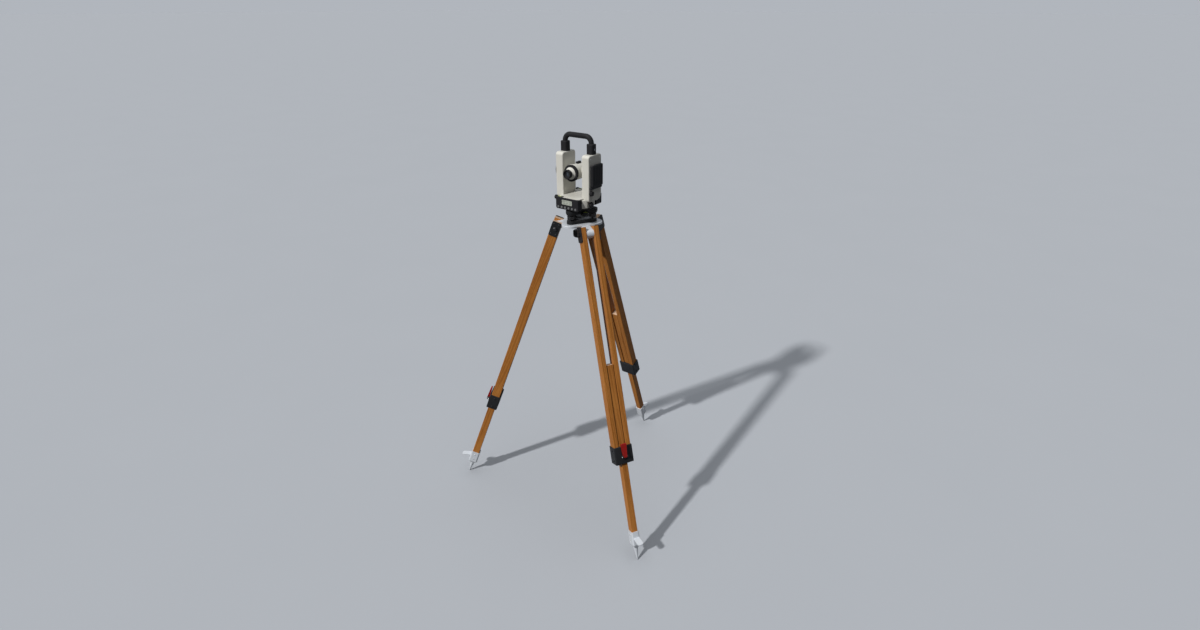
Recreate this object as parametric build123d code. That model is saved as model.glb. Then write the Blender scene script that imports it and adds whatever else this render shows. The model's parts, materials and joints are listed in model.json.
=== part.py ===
from build123d import *
import os
from math import atan2, cos, degrees, radians

# Electronic theodolite on a wooden tripod, in millimetres.
# Origin on the ground under the vertical axis, +X along the trunnion axis to the right,
# the eyepiece and the front display face -Y, +Z is up.

# Clearances
run_fit = 0.05  # radial clearance of a shaft that turns in its hole
seat_gap = 0.1  # clearance of a piece set into a seat
part_gap = 0.3  # gap between faces that move past each other
plate_gap = 0.2  # gap between the tribrach and the tripod head
trim_over = 1.0  # how far a cutting outline reaches past the piece that it shapes

# Tripod head
leg_azimuths = {"left": 210, "right": 330, "back": 90}
corner_azimuths = {"right": 30, "left": 150, "front": 270}
hinge_radius = 90.0
hinge_height = 1237.0
head_rise = 18.0  # head underside above the hinge axes
head_thickness = 8.0
head_corner_circle = 54.0
head_corner_radius = 35.0
head_edge = 1.5
head_hole_radius = 30.0
lug_radius = 17.0
lug_root = 56.0
lug_root_height = 13.0
lug_gap = 0.5  # between a lug and the bars beside it
bolt_radius = 5.0
bolt_head_radius = 8.5
bolt_head_height = 5.5

# Fixing arm, screw and knob under the head
arm_pivot_radius = 66.0
arm_tail = 38.0
arm_width = 34.0
arm_thickness = 6.0
arm_pin_radius = 4.0
arm_pin_head_radius = 8.0
arm_pin_head_height = 3.0
centring_travel = 14.0
screw_radius = 7.9
screw_bore_radius = 5.0
shank_radius = 12.0
flange_radius = 15.5
flange_height = 4.0
knob_radius = 25.0
knob_height = 24.0
knob_drop = 36.0  # knob bottom below the hinge axes
knob_edge = 4.0
knob_lobes = 8
knob_lobe_radius = 7.0
screw_tail = 2.0  # screw end below the knob

# Wooden legs
foot_radius = 550.0  # circle that the three points stand on
bar_width = 20.0
bar_depth = 36.0
bar_gap = 31.0
bar_rise = 26.0  # bar top above the hinge axis, along the leg
wood_edge = 1.5
slat_width = 25.0
slat_depth = 31.0
slat_length = 732.0
cheek_thickness = 3.5
cheek_width = 37.0
cheek_over = 3.0  # above the bar top
cheek_drop = 30.0
cheek_corner = 6.0

# Leg clamp and its lever
clamp_top = 834.0
clamp_height = 70.0
clamp_side_wall = 3.4
clamp_face_wall = 5.9
clamp_floor = 6.0
clamp_corner = 5.0
clamp_edge = 2.0
lever_pivot_drop = 40.0  # below the clamp top
lever_pivot_out = 6.0  # outside the clamp face
lever_root_radius = 5.5
lever_root_width = 14.0
lever_length = 59.0
lever_tip_width = 24.0
lever_tip_radius = 3.2
lever_corner = 6.0
lever_pin_radius = 2.5
ear_radius = 5.7
ear_thickness = 4.0
ear_gap = 1.6  # room for the lever, which widens between the ears

# Foot shoe
shoe_wall = 4.0
shoe_height = 55.0
shoe_floor = 8.0
shoe_corner = 6.0
shoe_taper_height = 14.0
shoe_taper = 30.0
spike_radius = 11.0
spike_length = 69.1  # from the shoe to the point's centre
point_radius = 2.5
step_drop = 16.0  # below the shoe top
step_reach = 63.0
step_width = 24.0
step_thickness = 5.0
step_corner = 9.0
step_slope = 20.0
gusset_reach = 46.0
gusset_height = 30.0
gusset_thickness = 6.0

# Tribrach
foot_circle = 51.0
tribrach_corner_radius = 20.0
base_corner_radius = 17.0
base_thickness = 12.0
base_edge = 2.0
ball_radius = 5.0
ball_clearance = 0.25
ball_depth = 2.5  # ball centre below the base plate's top
neck_radius = 3.4
stem_radius = 4.0
foot_knob_radius = 15.0
foot_knob_height = 13.0
foot_knob_clear = 5.8
foot_knob_edge = 1.5
foot_knob_flutes = 14
flute_radius = 2.2
lobe_clear = 3.5
lobe_bottom_radius = 17.0
lobe_height = 8.0
top_plate_height = 10.0
tribrach_edge = 2.0
ring_radius = 42.0
spigot_radius = 33.0
stem_reach = 13.5  # stem length inside its lobe
tilt_clearance = 1.9  # room round the front stem for the levelling tilt
level_azimuth = 330
level_circle = 60.0
level_radius = 10.5
level_height = 7.0
level_lug_radius = 12.5
level_lug_height = 7.0
level_glass_radius = 7.0
level_glass_depth = 1.5
lock_azimuth = 90
lock_radius = 6.5
lock_length = 12.0
lock_pin_radius = 2.5
lock_clear = 0.8  # below the lower housing
lock_pin_depth = 10.0
lock_flutes = 10

# Lower housing, vertical axis and horizontal circle
housing_radius = 56.0
housing_height = 11.5
housing_edge = 2.0
sleeve_radius = 20.0
sleeve_rise = 13.0
circle_seat_radius = 26.0
circle_seat_rise = 4.0
circle_radius = 35.0
circle_thickness = 3.0
spindle_radius = 14.0
spindle_length = 44.0
spindle_flange_radius = 30.0
spindle_flange_height = 4.0
cavity_radius = 38.0
cavity_height = 17.0

# Alidade base
alidade_height = 39.0
alidade_width = 114.0
alidade_front = 52.0
alidade_rear = 40.0
alidade_corner = 25.0
flank_height = 13.5  # of the sides under the standards
flank_front_radius = 11.0
flank_rear_radius = 26.0
shelf_width = 100.0
shelf_setback = 4.0  # behind the panel faces
shelf_thickness = 6.0
shelf_corner = 12.0

# Display panels, windows and keys
panel_width = 104.0
panel_reach = 76.0
panel_drop = 5.0  # panel bottom below the lower housing's top
panel_corner = 7.0
panel_edge = 2.0
panel_scoop = 0.6  # room round the lower housing
window_width = 47.0
window_height = 18.0
window_depth = 2.0
window_sink = 0.5  # pane face behind the panel face
window_drop = 16.5  # window centre below the panel top
window_corner = 2.0
key_count = 6
key_pitch = 16.0
key_radius = 4.5
key_rise = 8.0  # key centres above the panel bottom
key_proud = 1.6
key_stem = 4.6
key_travel = 0.8
key_edge = 0.8

# Plate levels
vial_radius = 6.5
vial_length = 29.0
vial_right = -24.0
vial_reach = 66.0
vial_drop = 4.0  # axis below the panel top
vial_cap_radius = 8.0
vial_cap_length = 7.0
vial_window_length = 16.0
vial_window_width = 7.0
vial_window_depth = 2.5

# Standards
standards_width = 152.0
standard_depth = 80.0
standard_thickness = 33.0
standard_height = 157.0
standard_crown = 12.0
standard_edge = 4.0
trunnion_rise = 88.0
trunnion_radius = 12.0
circle_pocket_radius = 32.0
circle_pocket_depth = 18.0
cover_radius = 35.0
cover_thickness = 6.0
cover_spigot = 3.0
cover_edge = 2.5
vertical_circle_radius = 29.0
vertical_circle_bore = 8.0
bearing_depth = 20.0

# Battery
plinth_height = 6.5
plinth_edge = 1.5
battery_width = 65.0
battery_y = 2.5
battery_height = 79.0
battery_proud = 4.5  # lid outside the plinth
battery_depth = 10.0  # pack inside the plinth
battery_wall = 6.0  # plinth round the pack
battery_drop = 45.0  # battery bottom below the trunnion axis
battery_corner = 4.0
battery_edge = 2.0
latch_width = 70.0
latch_y = -3.0
latch_height = 8.0
rib_count = 5
rib_width = 2.0
rib_depth = 1.0
rib_margin = 8.0

# Clamp rings and tangent knobs on the right side
ring_knob_radius = 10.0
ring_knob_length = 4.0
tangent_radius = 9.0
tangent_length = 6.0
knob_shaft_radius = 3.0
knob_shaft_depth = 9.0
knob_flutes = 12
knob_flute_radius = 1.4
vertical_knob_y = -30.0
vertical_knob_drop = 67.5  # below the trunnion axis
horizontal_knob_y = -18.0
horizontal_knob_drop = 25.0  # below the top of the base
boss_radius = 10.5
boss_reach = 65.0

# Telescope
barrel_radius = 29.0
barrel_front = 39.5
barrel_back = 32.0
tube_radius = 26.0
tube_start = 40.0
hood_radius = 28.5
hood_start = 60.0
objective_end = 78.0
ring_seat_radius = 20.5
ring_seat_end = 49.5
cone_radius = 22.5
cone_tip_radius = 15.0
cone_end = 58.0
hub_radius = 21.0
objective_bore = 23.0
objective_seat = 62.0
objective_thickness = 6.0
objective_crown = 1.5
focus_bore = 16.0
focus_bore_start = 30.0
focus_bore_end = 20.0
inner_bore = 20.0
lens_thickness = 8.0
lens_centre = 4.0
lens_opening = 11.0
lens_dish = 2.0
focus_ring_radius = 30.5
focus_flutes = 24
focus_flute_radius = 1.5
eyepiece_radius = 14.5
eyepiece_end = 70.0
eyepiece_edge = 2.5
eyepiece_stem_radius = 9.0
eyepiece_stem_depth = 18.0
eye_lens_radius = 7.0
eye_lens_depth = 3.0
eyepiece_flutes = 16
sight_length = 22.0
sight_width = 10.0
sight_height = 7.5
sight_edge = 2.0
sight_bore = 2.0
sight_notch = 8.0
sight_notch_depth = 2.0

# Carrying handle
handle_rise = 61.0
handle_radius = 9.7
handle_bend = 24.0
socket_width = 29.0
socket_corner = 8.0
socket_height = 36.5
socket_edge = 3.0

# Heights and places that follow from the sizes above
leg_tilt = degrees(atan2(foot_radius - hinge_radius, hinge_height))
head_bottom = hinge_height + head_rise
head_top = head_bottom + head_thickness
arm_top = head_bottom - part_gap
arm_bottom = arm_top - arm_thickness
flange_top = arm_bottom - part_gap
knob_bottom = hinge_height - knob_drop - screw_tail
knob_top = knob_bottom + knob_height
bar_centre = (bar_gap + bar_width) / 2
bar_outside = bar_gap / 2 + bar_width
cheek_outside = bar_outside + cheek_thickness
clamp_bottom = clamp_top + clamp_height
clamp_width = 2 * (bar_outside + seat_gap + clamp_side_wall)
clamp_depth = bar_depth + 2 * (seat_gap + clamp_face_wall)
bar_end = clamp_bottom - clamp_floor
lever_pivot = clamp_top + lever_pivot_drop
lever_out = clamp_depth / 2 + lever_pivot_out
leg_length = (hinge_height - point_radius) / cos(radians(leg_tilt))
shoe_bottom = leg_length - spike_length
shoe_top = shoe_bottom - shoe_height
slat_end = shoe_bottom - shoe_floor
slat_top = slat_end - slat_length
base_bottom = head_top + plate_gap
base_top = base_bottom + base_thickness
ball_height = base_top - ball_depth
foot_knob_bottom = base_top + foot_knob_clear
foot_knob_top = foot_knob_bottom + foot_knob_height
lobe_bottom = foot_knob_top + lobe_clear
plate_bottom = lobe_bottom + lobe_height
tribrach_top = plate_bottom + top_plate_height
tribrach_flat = foot_circle / 2 + tribrach_corner_radius
lock_height = tribrach_top - lock_clear - lock_radius
housing_top = tribrach_top + housing_height
circle_seat = housing_top + circle_seat_rise
sleeve_top = housing_top + sleeve_rise
alidade_bottom = housing_top + part_gap
alidade_top = alidade_bottom + alidade_height
alidade_depth = alidade_front + alidade_rear
flank_bottom = alidade_top - flank_height
cavity_top = alidade_bottom + cavity_height
flange_seat = cavity_top + spindle_flange_height
shelf_bottom = alidade_top - shelf_thickness
panel_bottom = housing_top - panel_drop
shelf_reach = panel_reach - shelf_setback
window_height_at = alidade_top - window_drop
key_height_at = panel_bottom + key_rise
vial_height_at = alidade_top - vial_drop
trunnion_height = alidade_top + trunnion_rise
standard_top = alidade_top + standard_height
standard_outside = standards_width / 2
standard_inside = standard_outside - standard_thickness
pocket_floor = standard_outside - circle_pocket_depth
battery_bottom = trunnion_height - battery_drop
battery_at = Pos(battery_y, battery_bottom + battery_height / 2)
plinth_face = standard_outside + plinth_height
vertical_knob_at = (vertical_knob_y, trunnion_height - vertical_knob_drop)
horizontal_knob_at = (horizontal_knob_y, alidade_top - horizontal_knob_drop)
handle_foot_x = (standard_outside + standard_inside) / 2
handle_height_at = standard_top + handle_rise

triangle_start = corner_azimuths["right"]


def rod(radius, start, end):
    """A round bar along Z."""
    return Pos(0, 0, start) * extrude(Circle(radius), end - start)


def along_x(outline, start, end):
    """A bar along X whose outline is drawn in Y and Z."""
    return Pos(start, 0, 0) * extrude(Plane.YZ * outline, end - start, dir=(1, 0, 0))


def along_y(outline, start, end):
    """A bar along Y whose outline is drawn in X and Z."""
    return Pos(0, start, 0) * extrude(Plane.XZ * outline, end - start, dir=(0, 1, 0))


def along_z(outline, start, end):
    """A bar along Z whose outline is drawn in X and Y."""
    return Pos(0, 0, start) * extrude(outline, end - start, dir=(0, 0, 1))


def turned(points):
    """A piece turned about Z from (radius, height) points."""
    return revolve(Plane.XZ * make_face(Polyline(*points, close=True)), Axis.Z)


def turned_x(points):
    """A piece turned about X from (position, radius) points."""
    return revolve(make_face(Polyline(*points, close=True)), Axis.X)


def turned_y(points):
    """A piece turned about Y from (radius, position) points."""
    return revolve(make_face(Polyline(*points, close=True)), Axis.Y)


def polar(azimuth, radius=0.0, height=0.0):
    """A place at an azimuth, facing outward."""
    return Rot(0, 0, azimuth) * Pos(radius, 0, height)


def grooves(count, circle, radius, start, end):
    """Round grooves along Z, spaced evenly about it."""
    cutter = rod(radius, start, end)
    return [place * cutter for place in PolarLocations(circle, count)]


def hull(*outlines):
    """The outline that a band would take round the given outlines."""
    edges = ShapeList()
    for outline in outlines:
        edges += outline.edges()
    return make_hull(edges)


def rounded_triangle(circle, radius):
    """Three corner circles with straight sides between them."""
    corners = [place * Circle(radius) for place in PolarLocations(circle, 3, triangle_start)]
    return hull(*corners)


# Tripod head and what hangs under it


def tripod_head():
    plate = along_z(rounded_triangle(head_corner_circle, head_corner_radius), head_bottom, head_top)
    plate = fillet(plate.faces().sort_by(Axis.Z)[-1].edges(), head_edge)
    lug_outline = hull(
        Pos(hinge_radius, hinge_height) * Circle(lug_radius),
        Pos(lug_root, head_bottom) * Rectangle(head_edge, lug_root_height),
    )
    lug_side = bar_gap / 2 - lug_gap
    lug = along_y(lug_outline, -lug_side, lug_side)
    bolt_hole = Circle(bolt_radius + seat_gap)
    lug -= along_y(Pos(hinge_radius, hinge_height) * bolt_hole, -lug_side, lug_side)
    for azimuth in leg_azimuths.values():
        plate += polar(azimuth) * lug
    plate -= rod(head_hole_radius, head_bottom, head_top)
    pin = rod(arm_pin_radius, flange_top, head_bottom)
    pin += rod(arm_pin_head_radius, flange_top - arm_pin_head_height, flange_top)
    return plate + polar(triangle_start, arm_pivot_radius) * pin


def hinge_bolts():
    end = cheek_outside + part_gap
    head = turned_x(
        [
            (end, 0),
            (end, bolt_head_radius),
            (end + bolt_head_height / 2, bolt_head_radius),
            (end + bolt_head_height, bolt_radius),
            (end + bolt_head_height, 0),
        ]
    )
    nut = along_x(RegularPolygon(bolt_head_radius, 6), -end - bolt_head_height, -end)
    bolt = along_x(Circle(bolt_radius), -end, end) + head + nut
    bolt = Rot(0, 0, 90) * bolt
    return [polar(azimuth, hinge_radius, hinge_height) * bolt for azimuth in leg_azimuths.values()]


def fixing_arm():
    pivot = Pos(arm_pivot_radius, 0)
    outline = hull(
        pivot * Circle(arm_width / 2 - part_gap),
        Pos(arm_width / 2 - arm_tail, 0) * Circle(arm_width / 2),
    )
    slot = SlotCenterToCenter(2 * centring_travel, 2 * (screw_radius + part_gap))
    arm = along_z(outline - slot - pivot * Circle(arm_pin_radius + run_fit), arm_bottom, arm_top)
    return Rot(0, 0, triangle_start) * arm


def fixing_screw():
    tail = knob_bottom - screw_tail
    screw = turned(
        [
            (screw_bore_radius, tail),
            (screw_radius, tail),
            (screw_radius, knob_top),
            (shank_radius, knob_top),
            (shank_radius, flange_top - flange_height),
            (flange_radius, flange_top - flange_height),
            (flange_radius, flange_top),
            (screw_radius, flange_top),
            (screw_radius, base_top - base_edge),
            (screw_bore_radius, base_top - base_edge),
        ]
    )
    return screw


def fixing_knob():
    knob = rod(knob_radius, knob_bottom, knob_top)
    knob = fillet(knob.edges(), knob_edge)
    knob -= grooves(
        knob_lobes, knob_radius + knob_lobe_radius / 2, knob_lobe_radius, knob_bottom, knob_top
    )
    return knob - rod(screw_radius + seat_gap, knob_bottom, knob_top)


# One leg, drawn with its hinge axis along Y through the origin and the leg down along -Z


def leg_bars():
    section = RectangleRounded(bar_depth, bar_width, wood_edge)
    bar = along_z(section, -bar_end, bar_rise)
    bar -= along_y(Circle(bolt_radius + run_fit), -bar_width / 2, bar_width / 2)
    return [Pos(0, side * bar_centre, 0) * bar for side in (-1, 1)]


def hinge_plates():
    top = bar_rise + cheek_over
    height = top + cheek_drop
    outline = Pos(0, top - height / 2) * RectangleRounded(cheek_width, height, cheek_corner)
    outline -= Circle(bolt_radius + run_fit)
    plate = along_y(outline, bar_outside, cheek_outside)
    return [plate, mirror(plate, Plane.XZ)]


def leg_clamp():
    collar = along_z(
        RectangleRounded(clamp_depth, clamp_width, clamp_corner), -clamp_bottom, -clamp_top
    )
    rims = collar.faces().sort_by(Axis.Z)
    collar = fillet(rims[0].edges() + rims[-1].edges(), clamp_edge)
    pocket = Rectangle(bar_depth + 2 * seat_gap, bar_width + 2 * seat_gap)
    for side in (-1, 1):
        collar -= Pos(0, side * bar_centre) * along_z(pocket, -bar_end, -clamp_top)
    slot = Rectangle(slat_depth + 2 * part_gap, slat_width + 2 * part_gap)
    collar -= along_z(slot, -clamp_bottom, -clamp_top)
    pivot = Pos(lever_out, -lever_pivot)
    foot = Pos(clamp_depth / 2 - clamp_edge, -lever_pivot) * Rectangle(clamp_edge, 2 * ear_radius)
    inside = lever_root_width / 2 + ear_gap
    ear = along_y(hull(pivot * Circle(ear_radius), foot), inside, inside + ear_thickness)
    pin_end = inside + ear_thickness
    pin = along_y(pivot * Circle(lever_pin_radius), -pin_end, pin_end)
    return collar + ear + mirror(ear, Plane.XZ) + pin


def clamp_lever():
    pivot = Pos(lever_out, -lever_pivot)
    tip_height = lever_length - lever_tip_radius - lever_root_radius
    tip = Pos(lever_out, tip_height - lever_pivot) * Circle(lever_tip_radius)
    half = lever_tip_width / 2
    side = along_y(hull(pivot * Circle(lever_root_radius), tip), -half, half)
    corner_height = tip_height + lever_tip_radius + trim_over - lever_corner - lever_pivot
    corners = [
        Pos(end * (half - lever_corner), corner_height) * Circle(lever_corner) for end in (-1, 1)
    ]
    foot_height = lever_root_width / 2 - lever_root_radius - trim_over - lever_pivot
    foot = Pos(0, foot_height) * Circle(lever_root_width / 2)
    out = lever_out + lever_root_radius + trim_over
    front = along_x(hull(foot, *corners), clamp_depth / 2, out)
    lever = side & front
    return lever - along_y(pivot * Circle(lever_pin_radius + run_fit), -half, half)


def leg_slat():
    return along_z(RectangleRounded(slat_depth, slat_width, wood_edge), -slat_end, -slat_top)


def foot_shoe():
    depth = slat_depth + 2 * (seat_gap + shoe_wall)
    width = slat_width + 2 * (seat_gap + shoe_wall)
    section = RectangleRounded(depth, width, shoe_corner)
    shoe = along_z(section, -shoe_bottom, -shoe_top)
    shoe += Pos(0, 0, -shoe_bottom) * extrude(section, -shoe_taper_height, taper=shoe_taper)
    pocket = Rectangle(slat_depth + 2 * seat_gap, slat_width + 2 * seat_gap)
    shoe -= along_z(pocket, -slat_end, -shoe_top)
    spike = turned(
        [(0, -shoe_bottom), (spike_radius, -shoe_bottom), (point_radius, -leg_length), (0, -leg_length)]
    )
    spike += Pos(0, 0, -leg_length) * Sphere(point_radius)
    step_outline = Pos(step_reach / 2, 0) * RectangleRounded(step_reach, step_width, step_corner)
    step = along_z(step_outline, -step_thickness, 0)
    gusset = make_face(
        Polyline((0, 0), (gusset_reach, 0), (0, -gusset_height), close=True)
    )
    step += along_y(gusset, -gusset_thickness / 2, gusset_thickness / 2)
    step = Pos(0, 0, -shoe_top - step_drop) * Rot(0, step_slope, 0) * step
    step -= along_z(Rectangle(depth - shoe_wall, width), -shoe_bottom - shoe_taper_height, -shoe_top)
    return shoe + spike + step


def place_leg(azimuth, piece):
    place = polar(azimuth, hinge_radius, hinge_height) * Rot(0, -leg_tilt, 0)
    return [place * solid for solid in piece] if isinstance(piece, list) else place * piece


# Tribrach


def tribrach_base_plate():
    plate = along_z(rounded_triangle(foot_circle, base_corner_radius), base_bottom, base_top)
    plate = chamfer(plate.faces().sort_by(Axis.Z)[-1].edges(), base_edge)
    plate -= rod(screw_radius + run_fit, base_bottom, base_top)
    socket = Sphere(ball_radius + ball_clearance)
    for azimuth in corner_azimuths.values():
        plate -= polar(azimuth, foot_circle, ball_height) * socket
    return plate


def foot_screw(azimuth):
    screw = rod(foot_knob_radius, foot_knob_bottom, foot_knob_top)
    screw = fillet(screw.edges(), foot_knob_edge)
    screw -= grooves(
        foot_knob_flutes,
        foot_knob_radius + flute_radius / 2,
        flute_radius,
        foot_knob_bottom,
        foot_knob_top,
    )
    screw += rod(neck_radius, ball_height, foot_knob_bottom)
    screw += Pos(0, 0, ball_height) * Sphere(ball_radius)
    screw += rod(stem_radius, foot_knob_top, lobe_bottom + stem_reach)
    return polar(azimuth, foot_circle) * screw


def tribrach_body():
    outline = rounded_triangle(foot_circle, tribrach_corner_radius)
    body = along_z(outline, plate_bottom, tribrach_top)
    body = fillet(body.faces().sort_by(Axis.Z)[-1].edges(), tribrach_edge)
    lobe = turned(
        [
            (0, lobe_bottom),
            (lobe_bottom_radius, lobe_bottom),
            (tribrach_corner_radius, plate_bottom),
            (0, plate_bottom),
        ]
    )
    for azimuth in corner_azimuths.values():
        body += polar(azimuth, foot_circle) * lobe
    body += rod(ring_radius, lobe_bottom, plate_bottom)
    lug_top = lobe_bottom + level_lug_height
    lug = hull(Pos(level_circle, 0) * Circle(level_lug_radius), Circle(level_lug_radius))
    body += Rot(0, 0, level_azimuth) * along_z(lug, lobe_bottom, lug_top)
    body -= rod(spigot_radius, lobe_bottom, tribrach_top)
    cup_room = rod(level_radius + seat_gap, lug_top, tribrach_top)
    body -= polar(level_azimuth, level_circle) * cup_room
    reach = stem_reach + part_gap
    for corner, azimuth in corner_azimuths.items():
        room = tilt_clearance if corner == "front" else run_fit
        hole = rod(stem_radius + room, lobe_bottom, lobe_bottom + reach + room)
        body -= polar(azimuth, foot_circle) * hole
    lock_hole = along_x(
        Circle(lock_pin_radius + run_fit), tribrach_flat - lock_pin_depth - part_gap, tribrach_flat
    )
    return body - polar(lock_azimuth, 0, lock_height) * lock_hole


def tribrach_lock_knob():
    start = tribrach_flat + part_gap
    knob = fillet(along_x(Circle(lock_radius), 0, lock_length).edges(), foot_knob_edge)
    cuts = grooves(lock_flutes, lock_radius + knob_flute_radius / 2, knob_flute_radius, 0, lock_length)
    knob -= [Rot(0, 90, 0) * cut for cut in cuts]
    knob += along_x(Circle(lock_pin_radius), -lock_pin_depth - part_gap, 0)
    return polar(lock_azimuth, start, lock_height) * knob


def circular_level():
    bottom = lobe_bottom + level_lug_height
    cup = rod(level_radius, bottom, bottom + level_height)
    cup = fillet(cup.faces().sort_by(Axis.Z)[-1].edges(), level_glass_depth)
    top = bottom + level_height
    cup -= rod(level_glass_radius, top - level_glass_depth, top)
    return polar(level_azimuth, level_circle) * cup


# Lower housing and vertical axis


def lower_housing():
    housing = turned(
        [
            (spindle_radius + run_fit, lobe_bottom),
            (spigot_radius - seat_gap, lobe_bottom),
            (spigot_radius - seat_gap, tribrach_top),
            (housing_radius - housing_edge, tribrach_top),
            (housing_radius, tribrach_top + housing_edge),
            (housing_radius, housing_top - housing_edge),
            (housing_radius - housing_edge, housing_top),
            (circle_seat_radius, housing_top),
            (circle_seat_radius, circle_seat),
            (sleeve_radius, circle_seat),
            (sleeve_radius, sleeve_top),
            (spindle_radius + run_fit, sleeve_top),
        ]
    )
    return housing


def vertical_spindle():
    bottom = cavity_top - spindle_length
    return turned(
        [
            (screw_bore_radius, bottom),
            (spindle_radius, bottom),
            (spindle_radius, cavity_top),
            (spindle_flange_radius, cavity_top),
            (spindle_flange_radius, flange_seat),
            (screw_bore_radius, flange_seat),
        ]
    )


def horizontal_circle():
    disc = rod(circle_radius, circle_seat, circle_seat + circle_thickness)
    return disc - rod(sleeve_radius + seat_gap, circle_seat, circle_seat + circle_thickness)


# Alidade base, panels, windows, keys and plate levels


def alidade_base():
    section = RectangleRounded(alidade_width, alidade_depth, alidade_corner)
    section = Pos(0, (alidade_rear - alidade_front) / 2) * section
    base = along_z(section, alidade_bottom, alidade_top)
    side = flank()
    base += [side, mirror(side, Plane.YZ)]
    shelf = RectangleRounded(shelf_width, 2 * shelf_reach, shelf_corner)
    base += along_z(shelf, shelf_bottom, alidade_top)
    base += along_x(Pos(*horizontal_knob_at) * Circle(boss_radius), cavity_radius, boss_reach)
    base -= rod(cavity_radius, alidade_bottom, cavity_top)
    base -= rod(spindle_flange_radius + seat_gap, cavity_top, flange_seat)
    base -= knob_hole(horizontal_knob_at, boss_reach)
    return base - vial_troughs()


def display_panel(inside):
    height = alidade_top - panel_bottom
    outline = Pos(0, panel_bottom + height / 2) * RectangleRounded(panel_width, height, panel_corner)
    panel = along_y(outline, -panel_reach, -inside)
    panel = fillet(panel.faces().sort_by(Axis.Y)[0].edges(), panel_edge)
    shelf = RectangleRounded(
        shelf_width + 2 * part_gap, 2 * (shelf_reach + part_gap), shelf_corner + part_gap
    )
    panel -= along_z(shelf, shelf_bottom, alidade_top)
    panel -= rod(housing_radius + panel_scoop, panel_bottom, alidade_bottom)
    window = Pos(0, window_height_at) * RectangleRounded(window_width, window_height, window_corner)
    panel -= along_y(window, -panel_reach, window_depth + window_sink - panel_reach)
    return panel - vial_troughs()


def display_panel_front():
    hole = Circle(key_radius + part_gap)
    panel = display_panel(alidade_front)
    depth = key_stem + key_travel + part_gap
    for x in key_places():
        panel -= along_y(Pos(x, key_height_at) * hole, -panel_reach, depth - panel_reach)
    return panel


def display_panel_rear():
    return mirror(display_panel(alidade_rear), Plane.XZ)


def display_windows():
    corner = window_corner - seat_gap
    outline = RectangleRounded(window_width - 2 * seat_gap, window_height - 2 * seat_gap, corner)
    front = window_sink - panel_reach
    pane = along_y(Pos(0, window_height_at) * outline, front, front + window_depth)
    return [pane, mirror(pane, Plane.XZ)]


def key_places():
    return [key_pitch * (number - (key_count - 1) / 2) for number in range(key_count)]


def key(x):
    face = -panel_reach - key_proud
    button = along_y(Pos(x, key_height_at) * Circle(key_radius), face, key_stem - panel_reach)
    return fillet(button.faces().sort_by(Axis.Y)[0].edges(), key_edge)


def vial_axis():
    return Pos(-vial_reach, vial_height_at)


def vial_troughs():
    outline = vial_axis() * Circle(vial_radius + seat_gap)
    trough = along_x(outline, vial_right - vial_length, vial_right + seat_gap)
    return [trough, mirror(trough, Plane.XZ)]


def plate_levels():
    left = vial_right - vial_length
    level = along_x(vial_axis() * Circle(vial_radius), left, vial_right)
    cap = along_x(vial_axis() * Circle(vial_cap_radius), left - vial_cap_length, left)
    level += fillet(cap.faces().sort_by(Axis.X)[0].edges(), key_edge)
    window = SlotOverall(vial_window_length, vial_window_width)
    top = vial_height_at + vial_radius
    middle = Pos((left + vial_right) / 2, -vial_reach)
    level -= middle * along_z(window, top - vial_window_depth, top)
    return [level, mirror(level, Plane.XZ)]


# Standards, vertical circle, battery and side knobs


def upright():
    """A standard together with the flank of the base under it."""
    height = standard_top - flank_bottom
    outline = Pos(0, flank_bottom + height / 2) * Rectangle(standard_depth, height)
    low = outline.vertices().group_by(Axis.Y)[0].sort_by(Axis.X)
    outline = fillet(low[0], flank_front_radius)
    low = outline.vertices().sort_by_distance((standard_depth / 2, flank_bottom))
    outline = fillet(low[0], flank_rear_radius)
    outline = fillet(outline.vertices().group_by(Axis.Y)[-1], standard_crown)
    body = along_x(outline, standard_inside, standard_outside)
    return fillet(body.faces().filter_by(Axis.X).edges(), standard_edge)


def standard():
    return split(upright(), Plane.XY.offset(alidade_top), keep=Keep.TOP)


def flank():
    return split(upright(), Plane.XY.offset(alidade_top), keep=Keep.BOTTOM)


def standard_left():
    body = mirror(standard(), Plane.YZ)
    axis = Pos(0, trunnion_height)
    body -= along_x(axis * Circle(circle_pocket_radius), -standard_outside, -pocket_floor)
    bearing = Circle(trunnion_radius + run_fit)
    return body - along_x(axis * bearing, -pocket_floor, -standard_inside)


def standard_right():
    bearing = Pos(0, trunnion_height) * Circle(trunnion_radius + run_fit)
    body = standard() - along_x(bearing, standard_inside, standard_inside + bearing_depth)
    plinth = along_x(battery_outline(0), standard_outside, plinth_face)
    body += fillet(plinth.faces().sort_by(Axis.X)[-1].edges(), plinth_edge)
    body -= along_x(battery_outline(battery_wall), plinth_face - battery_depth, plinth_face)
    return body - knob_hole(vertical_knob_at, standard_outside)


def vertical_circle_cover():
    axis = Pos(0, trunnion_height)
    outside = -standard_outside - cover_thickness
    disc = along_x(axis * Circle(cover_radius), outside, -standard_outside)
    disc = fillet(disc.faces().sort_by(Axis.X)[0].edges(), cover_edge)
    spigot = Circle(circle_pocket_radius - seat_gap)
    return disc + along_x(axis * spigot, -standard_outside, cover_spigot - standard_outside)


def vertical_circle():
    disc = Circle(vertical_circle_radius) - Circle(vertical_circle_bore + seat_gap)
    seat = -circle_shoulder()
    return along_x(Pos(0, trunnion_height) * disc, seat - circle_thickness, seat)


def circle_shoulder():
    return pocket_floor + circle_thickness


def battery_outline(inset):
    size = battery_width - 2 * inset, battery_height - 2 * inset
    return battery_at * RectangleRounded(*size, battery_corner)


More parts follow.
